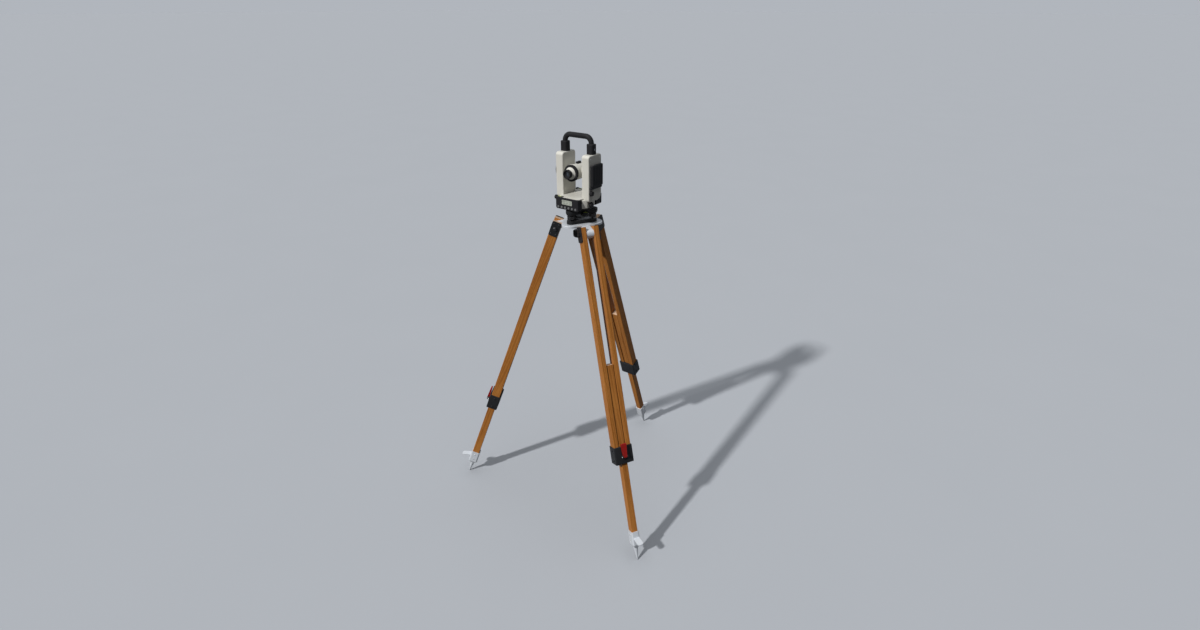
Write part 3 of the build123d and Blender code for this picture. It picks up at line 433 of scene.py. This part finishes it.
def paneFinish(name, look):
    material, tree, shader = newMaterial(name)
    place = objectPlace(tree)
    handling = addGroup(tree, "handling", {"Vector": place, "Scale": look["toneScale"]})
    colour = mixColour(tree, remap(tree, handling["Tone"], noiseRange), look["colour"], look["edgeColour"])
    cellInputs = {"Vector": place, "Scale": look["cell"]}
    cells = addNode(tree, "TexVoronoi", cellInputs, distance="CHEBYCHEV").outputs[0]
    shade = calculate(tree, "MULTIPLY", cells, look["cellShade"])
    setInputs(tree, shader, {
        "Base Color": mixColour(tree, shade, colour, look["edgeColour"], "MULTIPLY"),
        "Roughness": remap(tree, handling["Smear"], unitRange, look["roughness"]),
        "Coat Weight": look["coat"],
        "Coat Roughness": look["coatRoughness"],
    })
    return material


lensGlass = dict(
    colour=(0.30, 0.34, 0.36, 1), toneColour=(0.26, 0.30, 0.33, 1), toneScale=40.0, roughness=(0.02, 0.07),
    transmission=1.0, ior=1.52, coat=1.0, coatTint=(0.82, 0.90, 1.0, 1),
)
circleGlass = dict(
    colour=(0.88, 0.92, 0.92, 1), toneColour=(0.84, 0.90, 0.90, 1), toneScale=40.0, roughness=(0.02, 0.07),
    transmission=0.9, ior=1.5, coat=1.0, coatTint=(1.0, 1.0, 1.0, 1),
)


def glassFinish(name, look):
    material, tree, shader = newMaterial(name)
    handling = addGroup(tree, "handling", {"Vector": objectPlace(tree), "Scale": look["toneScale"]})
    tone = remap(tree, handling["Tone"], noiseRange)
    setInputs(tree, shader, {
        "Base Color": mixColour(tree, tone, look["colour"], look["toneColour"]),
        "Roughness": remap(tree, handling["Smear"], unitRange, look["roughness"]),
        "Transmission Weight": look["transmission"],
        "IOR": look["ior"],
        "Coat Weight": look["coat"],
        "Coat Tint": look["coatTint"],
    })
    return material


finishes = {
    "ivory_housing": coatedFinish("ivoryCoat", ivoryCoat),
    "black_plastic": coatedFinish("blackMoulding", blackMoulding),
    "black_casting": coatedFinish("blackCasting", blackCasting),
    "black_plate": coatedFinish("blackSheet", blackSheet),
    "silver_casting": coatedFinish("silverCasting", silverCasting),
    "steel": turnedSteel("brightSteel", brightSteel),
    "dark_steel": turnedSteel("darkSteel", darkSteel),
    "foot_screw_black": coatedFinish("screwAnodised", screwAnodised),
    "lever_red": coatedFinish("leverEnamel", leverEnamel),
    "display_glass": paneFinish("crystalPane", crystalPane),
    "key_grey": coatedFinish("keyRubber", keyRubber),
    "optical_glass": glassFinish("lensGlass", lensGlass),
    "circle_glass": glassFinish("circleGlass", circleGlass),
}
ownFinishes = {"standard_right": blackenPad(coatedFinish("ivoryCoatPad", ivoryCoat), batteryPad)}
woodCuts = {  # where in the plank a piece was cut, and how far on that of the next leg was
    "leg_bars": dict(label="barWood", start=(0.0, 0.05, 0.0), step=(0.11, 0.0, 0.0)),
    "leg_slat": dict(label="slatWood", start=(0.31, 0.0, 0.4), step=(0.0, 0.13, 0.0)),
}
for number, side in enumerate(legSides):
    for piece, cut in woodCuts.items():
        shift = [start + number * step for start, step in zip(cut["start"], cut["step"])]
        ownFinishes[f"{piece}_{side}"] = woodFinish(f"{cut['label']}_{side}", oiledWood, side, shift)
for row in frame["record"]["subparts"]:
    skin = nodes[row["node"]].data.materials
    skin.clear()
    skin.append(ownFinishes.get(row["node"], finishes.get(row["material_slot"])))
print("finishes:", len(bpy.data.materials), "materials on", len(nodes), "nodes")


# mesh helpers

sharpAngle = 38  # degrees between two faces, from which their edge is sharp
crossArm = 0.28  # half the width of a cross recess's arm, as a share of its length


def boxOf(node):  # lowest and highest corner of a CAD node, in millimetres
    return [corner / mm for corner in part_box(node)]


def middle(node):
    low, high = boxOf(node)
    return (low + high) / 2


def upright(x, y, z):  # a place in millimetres, not turned
    return Matrix.Translation(Vector((x, y, z)) * mm)


def facing(point, direction):  # a place whose Z looks along the direction
    return upright(*point) @ Vector(direction).to_track_quat("Z", "Y").to_matrix().to_4x4()


def onCircle(x, y, radius, azimuth):
    angle = math.radians(azimuth)
    return x + radius * math.cos(angle), y + radius * math.sin(angle)


def circlePoints(x, y, radius, count, first=0):
    return [onCircle(x, y, radius, first + 360 * number / count) for number in range(count)]


def roundOutline(angle):
    return 1.0


def crossOutline(angle):
    c, s = max(abs(math.cos(angle)), 1e-6), max(abs(math.sin(angle)), 1e-6)
    return max(min(1 / c, crossArm / s), min(1 / s, crossArm / c))


def lathe(bm, profile, place, steps, ring):  # points of a profile are (radius, height), or with an outline
    loops = []
    for radius, height, *outline in profile:
        shape = outline[0] if outline else roundOutline
        angles = [0.0] if radius == 0 else [2 * math.pi * step / steps for step in range(steps)]
        spots = [
            (radius * shape(angle) * math.cos(angle), radius * shape(angle) * math.sin(angle), height)
            for angle in angles
        ]
        loops.append([bm.verts.new(place @ (Vector(spot) * mm)) for spot in spots])
    if ring:
        loops.append(loops[0])
    for low, high in zip(loops, loops[1:]):
        for step in range(steps):
            ends = ((low, step), (low, step + 1), (high, step + 1), (high, step))
            corners = list(dict.fromkeys(loop[number % len(loop)] for loop, number in ends))
            if len(corners) > 2:
                bm.faces.new(corners)


def prism(bm, outline, place, low, high):  # closed slab over a plan of (x, y) points
    bottom = [bm.verts.new(place @ (Vector((x, y, low)) * mm)) for x, y in outline]
    top = [bm.verts.new(place @ (Vector((x, y, high)) * mm)) for x, y in outline]
    bm.faces.new(bottom[::-1])
    bm.faces.new(top)
    for number in range(len(outline)):
        after = (number + 1) % len(outline)
        bm.faces.new((bottom[number], bottom[after], top[after], top[number]))


def addPiece(name, bm, finish, body):  # the finish is a CAD slot's name, or a material of the scene's own
    bmesh.ops.recalc_face_normals(bm, faces=bm.faces)
    mesh = bpy.data.meshes.new(name)
    bm.to_mesh(mesh)
    bm.free()
    mesh.polygons.foreach_set("use_smooth", [True] * len(mesh.polygons))
    mesh.set_sharp_from_angle(angle=math.radians(sharpAngle))
    slot = finish if isinstance(finish, str) else None
    mesh.materials.append(finishes[slot] if slot else finish)
    piece = bpy.data.objects.new(name, mesh)
    bpy.context.scene.collection.objects.link(piece)
    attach(piece, body)


def turnedPiece(name, profile, places, steps, finish, body, ring=False):  # one profile at each place
    bm = bmesh.new()
    for place in places:
        lathe(bm, profile, place, steps, ring)
    addPiece(name, bm, finish, body)


# fasteners

def screwHead(size):  # with a cross recess
    r, h, cut, sunk = size["radius"], size["height"], size["recess"], size["sunk"]
    return [
        (0, -sunk), (r, -sunk), (r, 0.35 * h), (0.93 * r, 0.7 * h), (0.75 * r, 0.95 * h), (0.70 * r, h),
        (cut, h, crossOutline), (0.8 * cut, 0.3 * h, crossOutline), (0, 0.2 * h),
    ]


def rivetHead(size):
    r, h, sunk = size["radius"], size["height"], size["sunk"]
    return [
        (0, -sunk), (r, -sunk), (r, 0.15 * h), (0.88 * r, 0.55 * h), (0.62 * r, 0.85 * h),
        (0.3 * r, 0.97 * h), (0, h),
    ]


smallScrew = dict(head=screwHead, steps=48, radius=1.9, height=1.1, recess=1.15, sunk=0.2)
clampBolt = dict(head=screwHead, steps=48, radius=4.6, height=3.2, recess=2.6, sunk=0.3)
plateRivet = dict(head=rivetHead, steps=24, radius=3.4, height=1.6, sunk=0.2)
pinEnd = dict(head=rivetHead, steps=24, radius=3.1, height=1.8, sunk=0.2)


def fastenerSet(name, size, places, slot, body):
    turnedPiece(name, size["head"](size), places, size["steps"], slot, body)


coverScrews = dict(circle=26.5, count=3, first=90)


def makeCoverScrews(look):
    outside = boxOf("vertical_circle_cover")[0].x
    centre = middle("vertical_circle_cover")
    spots = circlePoints(centre.y, centre.z, look["circle"], look["count"], look["first"])
    places = [facing((outside, y, z), (-1, 0, 0)) for y, z in spots]
    fastenerSet("coverScrews", smallScrew, places, "steel", "alidade")


standardScrews = dict(inset=10.0, topDrop=13.0, footRise=7.0, knobRoom=24.0)


def makeStandardScrews(look):  # one in each corner that the side knob leaves free
    low, high = boxOf("standard_left")
    knob = middle("vertical_clamp_ring")
    for side, sign in (("left", -1), ("right", 1)):
        corners = [
            Vector((-sign * low.x, y, z))
            for y in (low.y + look["inset"], high.y - look["inset"])
            for z in (low.z + look["footRise"], high.z - look["topDrop"])
        ]
        free = [corner for corner in corners if (corner - knob).length > look["knobRoom"]]
        places = [facing(corner, (sign, 0, 0)) for corner in free]
        fastenerSet(f"standardScrews_{side}", smallScrew, places, "steel", "alidade")


handleScrews = dict(rise=17.0, reach=14.5)


def makeHandleScrews(look):
    across = look["reach"] - middle("standard_left").x
    up = boxOf("standard_left")[1].z + look["rise"]
    places = [facing((sign * across, 0, up), (sign, 0, 0)) for sign in (-1, 1)]
    fastenerSet("handleScrews", smallScrew, places, "steel", "alidade")


legFasteners = dict(  # spots are (outward, up) from the hinge
    plateFace=39.0, plateRivets=((-10.0, -21.0), (10.0, -21.0), (-10.0, 20.0), (10.0, 20.0)),
    clampFace=39.0, clampBolts=((0.0, -848.0), (0.0, -890.0)),
    shoeFace=16.6, shoeRivets=((0.0, -1207.0), (0.0, -1233.0)), pinFace=12.6,
)


def makeLegFasteners(look, side):  # on both faces of the leg
    leg = legPlace(side)
    pivot = leg.inverted() @ Vector(joints[f"lever_{side}_open"]["pos_m"]) / mm
    rows = (
        ("plateRivets", plateRivet, look["plateFace"], look["plateRivets"], "dark_steel", "leg"),
        ("clampBolts", clampBolt, look["clampFace"], look["clampBolts"], "dark_steel", "leg"),
        ("shoeRivets", plateRivet, look["shoeFace"], look["shoeRivets"], "steel", "slat"),
        ("pinEnds", pinEnd, look["pinFace"], [(pivot.x, pivot.z)], "steel", "leg"),
    )
    for name, size, face, spots, slot, body in rows:
        places = [leg @ facing((x, end * face, z), (0, end, 0)) for x, z in spots for end in (-1, 1)]
        fastenerSet(f"{name}_{side}", size, places, slot, f"{body}_{side}")


makeCoverScrews(coverScrews)
makeStandardScrews(standardScrews)
makeHandleScrews(handleScrews)
for side in legSides:
    makeLegFasteners(legFasteners, side)
print("fasteners: cover, standards, handle and legs")


# levels

clearSkin = dict(noiseScale=220.0, noiseDetail=2.0, roughness=(0.04, 0.10), coat=1.0)


def fluidFinish(name, look):
    material, tree, shader = newMaterial(name)
    noise = addNoise(tree, objectPlace(tree), clearSkin["noiseScale"], clearSkin["noiseDetail"])[0]
    setInputs(tree, shader, {
        "Base Color": mixColour(tree, noise, look["colour"], look["toneColour"]),
        "Roughness": remap(tree, noise, noiseRange, clearSkin["roughness"]),
        "Coat Weight": clearSkin["coat"],
    })
    return material


yellowFluid = dict(colour=(0.50, 0.58, 0.10, 1), toneColour=(0.42, 0.52, 0.08, 1))
paleBubble = dict(colour=(0.80, 0.84, 0.55, 1), toneColour=(0.74, 0.80, 0.45, 1))
blackPaint = dict(colour=(0.012, 0.012, 0.012, 1), toneColour=(0.02, 0.02, 0.02, 1))
vialFluid = fluidFinish("vialFluid", yellowFluid)
vialBubble = fluidFinish("vialBubble", paleBubble)
markPaint = fluidFinish("markPaint", blackPaint)

roundLevel = dict(
    radius=6.9, sunk=1.48, edgeDrop=0.35, brimDrop=0.1, crown=0.15, steps=40,
    ring=2.7, ringWidth=0.35, bubble=1.9, bubbleSteps=32,
)


def makeRoundLevel(look):
    centre = middle("circular_level")
    places = [upright(centre.x, centre.y, boxOf("circular_level")[1].z)]
    r, crown, bubble = look["radius"], look["crown"], look["bubble"]
    inner, outer = look["ring"], look["ring"] + look["ringWidth"]
    glass = [
        (0, -look["sunk"]), (r, -look["sunk"]), (r, -look["edgeDrop"]), (0.85 * r, -look["brimDrop"]),
        (0.5 * r, 0.6 * crown), (0, crown),
    ]
    turnedPiece("roundLevelGlass", glass, places, look["steps"], vialFluid, "tribrach")
    circle = [(inner, 0), (outer, 0), (outer, crown), (inner, crown)]
    turnedPiece("roundLevelRing", circle, places, look["steps"], markPaint, "tribrach", ring=True)
    drop = [(0, 0), (bubble, 0), (0.7 * bubble, 1.5 * crown), (0, 1.9 * crown)]
    turnedPiece("roundLevelBubble", drop, places, look["bubbleSteps"], vialBubble, "tribrach")


plateVial = dict(
    radius=6.1, halfLength=7.85, halfWidth=3.4, straight=4.5, floor=4.05, across=9, along=33, capLength=7.0,
    bubble=(3.0, 1.2, 0.3), bubbleSink=0.1, bubbleSteps=32,
    marks=(-4.4, -3.5, 3.5, 4.4), markWidth=0.25, markShare=0.96, markRise=0.04, markDepth=0.3,
)
planToSide = Matrix(((0, 0, 1, 0), (1, 0, 0, 0), (0, 1, 0, 0), (0, 0, 0, 1)))  # X and Y become Y and Z


def vialHalfWidth(look, x):  # the slot that the vial shows through has round ends
    over = max(0.0, abs(x) - look["straight"])
    return look["halfWidth"] * math.sqrt(max(0.0, 1 - (over / look["halfWidth"]) ** 2))


def vialCrown(look, half):  # points across the top of the vial
    ys = [half * (2 * number / (look["across"] - 1) - 1) for number in range(look["across"])]
    return [(y, math.sqrt(look["radius"] ** 2 - y**2)) for y in ys]


def makePlateVial(look, axis, end):
    place = upright(*axis)
    bm = bmesh.new()
    rows = []
    for number in range(look["along"]):
        x = look["halfLength"] * (2 * number / (look["along"] - 1) - 1)
        crown = vialCrown(look, vialHalfWidth(look, x))
        section = crown + [(y, look["floor"]) for y, z in reversed(crown)]
        rows.append([bm.verts.new(place @ (Vector((x, y, z)) * mm)) for y, z in section])
    for first, second in zip(rows, rows[1:]):
        for number in range(len(first)):
            after = (number + 1) % len(first)
            bm.faces.new((first[number], first[after], second[after], second[number]))
    bm.faces.new(rows[0])
    bm.faces.new(rows[-1])
    addPiece(f"plateVialGlass_{end}", bm, vialFluid, "alidade")
    length, width, rise = look["bubble"]
    crest = place @ upright(0, 0, look["radius"] - look["bubbleSink"])
    places = [crest @ Matrix.Diagonal((length, width, 1, 1))]
    drop = [(0, 0), (1, 0), (0.9, 0.6 * rise), (0.6, 0.9 * rise), (0, rise)]
    turnedPiece(f"plateVialBubble_{end}", drop, places, look["bubbleSteps"], vialBubble, "alidade")
    bm = bmesh.new()
    for mark in look["marks"]:
        crown = vialCrown(look, look["markShare"] * vialHalfWidth(look, mark))
        outline = [(y, z + look["markRise"]) for y, z in crown]
        outline += [(y, z - look["markDepth"]) for y, z in reversed(crown)]
        prism(bm, outline, place @ planToSide, mark - look["markWidth"] / 2, mark + look["markWidth"] / 2)
    addPiece(f"plateVialMarks_{end}", bm, markPaint, "alidade")


makeRoundLevel(roundLevel)
levelLow, levelHigh = boxOf("plate_levels")
capRadius = (levelHigh.z - levelLow.z) / 2
barrelMiddle = (levelLow.x + plateVial["capLength"] + levelHigh.x) / 2
for end, y in (("front", levelLow.y + capRadius), ("rear", levelHigh.y - capRadius)):
    makePlateVial(plateVial, (barrelMiddle, y, levelLow.z + capRadius), end)
print("levels: round level and plate levels filled")


# displays

digitBars = {
    "0": "abcdef", "1": "bc", "2": "abdeg", "3": "abcdg", "4": "bcfg",
    "5": "acdfg", "6": "acdefg", "7": "abc", "8": "abcdefg", "9": "abcdfg",
}
displayRows = dict(
    height=5.6, width=3.1, pitch=4.5, bar=0.62, gap=0.12, slant=0.1, inkLow=-0.02, inkHigh=0.03,
    rows=((3.9, "089 41 20"), (-3.9, "126 05 35")),
)


def digitBar(kind, look):  # outline of one bar of a digit, lower left corner of the digit at the origin
    w, h, t, gap = look["width"], look["height"], look["bar"] / 2, look["gap"]
    lying = {"a": h - t, "g": h / 2, "d": t}
    standing = {"b": w - t, "c": w - t, "e": t, "f": t}
    if kind in lying:
        level, low, high = lying[kind], t + gap, w - t - gap
    else:
        level = standing[kind]
        low, high = (h / 2 + gap, h - t - gap) if kind in "bf" else (t + gap, h / 2 - gap)
    points = [
        (low, level), (low + t, level + t), (high - t, level + t),
        (high, level), (high - t, level - t), (low + t, level - t),
    ]
    if kind in standing:
        points = [(x, z) for z, x in points]
    return [(x + look["slant"] * z, z) for x, z in points]


def makeDisplay(name, look, paneMiddle, faceY, sign):  # sign is -1 for the pane that looks to -Y
    across, up, out = Vector((-sign, 0, 0)), Vector((0, 0, 1)), Vector((0, sign, 0))
    place = Matrix((across, up, out)).transposed().to_4x4()
    place.translation = Vector((paneMiddle.x, faceY, paneMiddle.z)) * mm
    bm = bmesh.new()
    for rise, text in look["rows"]:
        start = -look["pitch"] * len(text) / 2
        for column, letter in enumerate(text):
            for kind in digitBars.get(letter, ""):
                shift = (start + column * look["pitch"], rise - look["height"] / 2)
                outline = [(x + shift[0], z + shift[1]) for x, z in digitBar(kind, look)]
                prism(bm, outline, place, look["inkLow"], look["inkHigh"])
    addPiece(name, bm, markPaint, "alidade")


paneLow, paneHigh = boxOf("display_windows")
paneMiddle = (paneLow + paneHigh) / 2
makeDisplay("frontDigits", displayRows, paneMiddle, paneLow.y, -1)
makeDisplay("rearDigits", displayRows, paneMiddle, paneHigh.y, 1)
print("displays: digits on both panes")


# optics

eyeLens = dict(radius=6.9, recess=3.0, crown=1.2, back=0.02, steps=40)


def makeEyeLens(look, axis):
    end = boxOf("eyepiece")[0].y
    r, crown, back = look["radius"], look["crown"], look["back"]
    profile = [
        (0, back), (r, back), (r, 0.25 * crown), (0.72 * r, 0.72 * crown), (0.36 * r, 0.94 * crown),
        (0, crown),
    ]
    places = [facing((axis.x, end + look["recess"], axis.z), (0, -1, 0))]
    turnedPiece("eyeLens", profile, places, look["steps"], "optical_glass", "eyepiece")


eyeRim = dict(radius=16.8, inner=12.0, start=10.0, reach=4.0, lip=1.6, seat=14.2, seatGap=0.2, steps=64)


def makeEyeRim(look, axis):
    end = boxOf("eyepiece")[0].y
    r, inner, lip, seat, gap = (look[key] for key in ("radius", "inner", "lip", "seat", "seatGap"))
    low, high = -look["start"], look["reach"]
    profile = [
        (seat, low), (r - lip, low), (r, low + lip), (r, high - lip), (r - 0.3 * lip, high - 0.3 * lip),
        (r - lip, high), (inner + lip, high), (inner, high - lip), (inner, gap), (seat, gap),
    ]
    places = [facing((axis.x, end, axis.z), (0, -1, 0))]
    turnedPiece("eyeRim", profile, places, look["steps"], "black_plastic", "eyepiece", ring=True)


objectiveRing = dict(outer=22.85, inner=20.4, depth=6.5, width=2.2, bevel=0.5, steps=64)


def makeObjectiveRing(look, axis):
    hood = boxOf("telescope_body")[1].y
    outer, inner, width = look["outer"], look["inner"], look["width"]
    profile = [(outer, 0), (outer, width), (inner + look["bevel"], width), (inner, 0.6 * width), (inner, 0)]
    places = [facing((axis.x, hood - look["depth"], axis.z), (0, 1, 0))]
    turnedPiece("objectiveRing", profile, places, look["steps"], "black_plastic", "telescope", ring=True)


sightGlass = dict(radius=1.9, drop=4.3, inset=1.0, depth=0.6, shoulder=0.22, crown=0.3, steps=28)


def makeSightGlass(look, axis):  # one at each end of the sight
    low, high = boxOf("telescope_sight")
    r, depth = look["radius"], look["depth"]
    profile = [(0, -depth), (r, -depth), (r, 0), (0.6 * r, look["shoulder"]), (0, look["crown"])]
    ends = ((low.y + look["inset"], -1), (high.y - look["inset"], 1))
    places = [facing((axis.x, end, high.z - look["drop"]), (0, way, 0)) for end, way in ends]
    turnedPiece("sightGlass", profile, places, look["steps"], "optical_glass", "telescope")


lineOfSight = middle("objective_lens")
makeEyeLens(eyeLens, lineOfSight)
makeEyeRim(eyeRim, lineOfSight)
makeObjectiveRing(objectiveRing, lineOfSight)
makeSightGlass(sightGlass, lineOfSight)
print("optics: eye lens and rim, objective ring and sight")


# shoulders of the base

baseShoulder = dict(
    inset=6.0, panelGap=0.3, reach=13.0, depth=18.0, side=6.0, root=8.0, footRise=1.5, topDrop=5.0,
    rounding=3.0, roundingSteps=4, roundFrom=1.0,
)


def makeShoulder(name, look, sign):  # oblique corner between the end of the front panel and the side knob
    panel = boxOf("display_panel_front")[1]
    low, high = boxOf("alidade_base")
    inside, outside = panel.x - look["inset"], panel.x + look["reach"]
    front = panel.y + look["depth"]
    rear = front + look["side"]
    outline = [
        (inside, panel.y), (panel.x - look["panelGap"], panel.y), (outside, front), (outside, rear),
        (inside, rear + look["root"]),
    ]
    outline = [(sign * x, y) for x, y in outline][::sign]
    bm = bmesh.new()
    prism(bm, outline, Matrix.Identity(4), low.z + look["footRise"], high.z - look["topDrop"])
    start = (panel.x - look["roundFrom"]) * mm
    edges = [edge for edge in bm.edges if all(abs(vert.co.x) > start for vert in edge.verts)]
    bmesh.ops.bevel(
        bm, geom=edges, offset=look["rounding"] * mm, segments=look["roundingSteps"], profile=0.5,
        affect="EDGES", clamp_overlap=True,
    )
    addPiece(name, bm, "ivory_housing", "alidade")


for side, sign in (("left", -1), ("right", 1)):
    makeShoulder(f"baseShoulder_{side}", baseShoulder, sign)
print("base: shoulders beside the front panel")


# tribrach trim

springPlate = dict(
    circle=51.0, azimuths=(30, 150, 270), corner=11.5, cornerTurn=120, arcSteps=10, thickness=0.8,
    middleHole=21.0, middleSteps=48, neckHole=4.6, neckSteps=24, screwCircle=30.0,
)


def makeSpringPlate(look):  # a thin sheet over the three sockets, screwed down between them
    top = boxOf("tribrach_base_plate")[1].z
    outline, necks, screws = [], [], []
    for azimuth in look["azimuths"]:
        x, y = onCircle(0, 0, look["circle"], azimuth)
        for step in range(look["arcSteps"] + 1):
            turn = look["cornerTurn"] * (step / look["arcSteps"] - 0.5)
            outline.append(onCircle(x, y, look["corner"], azimuth + turn))
        necks.append(circlePoints(x, y, look["neckHole"], look["neckSteps"]))
        x, y = onCircle(0, 0, look["screwCircle"], azimuth + 180)
        screws.append(facing((x, y, top + look["thickness"]), (0, 0, 1)))
    bm = bmesh.new()
    edges = []
    for loop in (outline, circlePoints(0, 0, look["middleHole"], look["middleSteps"]), *necks):
        verts = [bm.verts.new(Vector((x, y, top)) * mm) for x, y in loop]
        edges += [bm.edges.new((verts[n], verts[(n + 1) % len(verts)])) for n in range(len(verts))]
    sheet = bmesh.ops.triangle_fill(bm, use_beauty=True, edges=edges)
    faces = [item for item in sheet["geom"] if isinstance(item, bmesh.types.BMFace)]
    raised = bmesh.ops.extrude_face_region(bm, geom=faces)["geom"]
    lifted = [item for item in raised if isinstance(item, bmesh.types.BMVert)]
    bmesh.ops.translate(bm, vec=Vector((0, 0, look["thickness"] * mm)), verts=lifted)
    addPiece("springPlate", bm, turnedSteel("springSteel", springSteel), "tribrach_base")
    fastenerSet("springPlateScrews", smallScrew, screws, "steel", "tribrach_base")


stemThread = dict(start=0.2, pitch=0.9, turns=3, root=4.0, crest=4.45, sunk=0.3, gap=3.5, steps=28)


def makeStemThread(look, corner):
    node = f"foot_screw_{corner}"
    spot = Vector(joints[f"{node}_turn"]["pos_m"]) / mm
    lobe = boxOf("tribrach_body")[0].z
    root, inside = look["root"], look["root"] - look["sunk"]
    profile = [(inside, 0)]
    for turn in range(look["turns"]):
        low = look["start"] + turn * look["pitch"]
        profile += [(root, low), (look["crest"], low + look["pitch"] / 2)]
    end = look["start"] + look["turns"] * look["pitch"]
    profile += [(root, end), (inside, end)]
    places = [upright(spot.x, spot.y, lobe - look["gap"])]
    turnedPiece(f"stemThread_{corner}", profile, places, look["steps"], "steel", node, ring=True)


makeSpringPlate(springPlate)
for corner in ("front", "left", "right"):
    makeStemThread(stemThread, corner)
print("tribrach: spring plate and foot screw threads")


# stage

floorLook = dict(
    size=400.0, colour=(0.408, 0.430, 0.466, 1), toneColour=(0.396, 0.418, 0.454, 1),
    bounceColour=(0.07, 0.072, 0.075, 1), noiseScale=1.5, noiseDetail=3.0, roughness=0.9, specular=0.1,
)


def seenRays(tree):  # 1 where the camera, a reflection or a glass looks, 0 for light that bounces
    rays = addNode(tree, "LightPath").outputs
    seen = calculate(tree, "ADD", rays["Is Camera Ray"], rays["Is Glossy Ray"])
    return calculate(tree, "ADD", seen, rays["Is Transmission Ray"], True)


def makeFloor(look):  # pale to look at, but little of it bounces
    half = look["size"] / 2
    corners = [(-half, -half, 0), (half, -half, 0), (half, half, 0), (-half, half, 0)]
    mesh = bpy.data.meshes.new("floor")
    mesh.from_pydata(corners, [], [(0, 1, 2, 3)])
    floor = bpy.data.objects.new("floor", mesh)
    bpy.context.scene.collection.objects.link(floor)
    material, tree, shader = newMaterial("paleFloor")
    noise = addNoise(tree, objectPlace(tree), look["noiseScale"], look["noiseDetail"])[0]
    pale = mixColour(tree, noise, look["colour"], look["toneColour"])
    setInputs(tree, shader, {
        "Base Color": mixColour(tree, seenRays(tree), look["bounceColour"], pale),
        "Roughness": look["roughness"],
        "Specular IOR Level": look["specular"],
    })
    mesh.materials.append(material)


keyLamp = dict(
    name="key", source=(-0.192, -0.753, 0.629), strength=3.1, angle=2.5, colour=(1.0, 0.985, 0.96),
)
overheadLamp = dict(
    name="overhead", source=(0.0, 0.0, 1.0), strength=1.2, angle=60.0, colour=(0.96, 0.98, 1.0),
)
studio = dict(
    skyColour=(0.93, 0.96, 1.0, 1), skyStrength=0.1, backColour=(0.44, 0.466, 0.507, 1), backStrength=1.0,
)


def makeLamp(look):
    data = bpy.data.lights.new(look["name"], "SUN")
    data.energy = look["strength"]
    data.angle = math.radians(look["angle"])
    data.color = look["colour"]
    lamp = bpy.data.objects.new(look["name"], data)
    lamp.rotation_euler = Vector(look["source"]).to_track_quat("Z", "Y").to_euler()
    bpy.context.scene.collection.objects.link(lamp)


def makeStudio(look):  # the backdrop is what is seen, the sky is what lights
    world = bpy.data.worlds.new("studio")
    world.use_nodes = True
    tree = world.node_tree
    sky = tree.nodes["Background"]
    setInputs(tree, sky, {"Color": look["skyColour"], "Strength": look["skyStrength"]})
    backdrop = addNode(tree, "Background", {"Color": look["backColour"], "Strength": look["backStrength"]})
    mixed = addNode(tree, "MixShader", {0: seenRays(tree), 1: sky.outputs[0], 2: backdrop.outputs[0]})
    tree.links.new(mixed.outputs[0], tree.nodes["World Output"].inputs["Surface"])
    bpy.context.scene.world = world


photoCamera = dict(
    location=(1.41573, -1.8750, 2.0116), pitch=26.22, yaw=35.107,
    focalPixels=630.98, frameWidth=1200, sensor=36.0,
)


def makeCamera(look):
    data = bpy.data.cameras.new("photoCamera")
    data.sensor_width = look["sensor"]
    data.sensor_fit = "HORIZONTAL"
    data.lens = look["sensor"] * look["focalPixels"] / look["frameWidth"]
    data.clip_end = floorLook["size"]
    camera = bpy.data.objects.new("photoCamera", data)
    camera.location = look["location"]
    camera.rotation_euler = (math.radians(90 - look["pitch"]), 0, math.radians(look["yaw"]))
    bpy.context.scene.collection.objects.link(camera)
    bpy.context.scene.camera = camera


makeFloor(floorLook)
makeLamp(keyLamp)
makeLamp(overheadLamp)
makeStudio(studio)
makeCamera(photoCamera)
bpy.context.scene.view_settings.view_transform = "Standard"
print("stage: floor, light and camera")
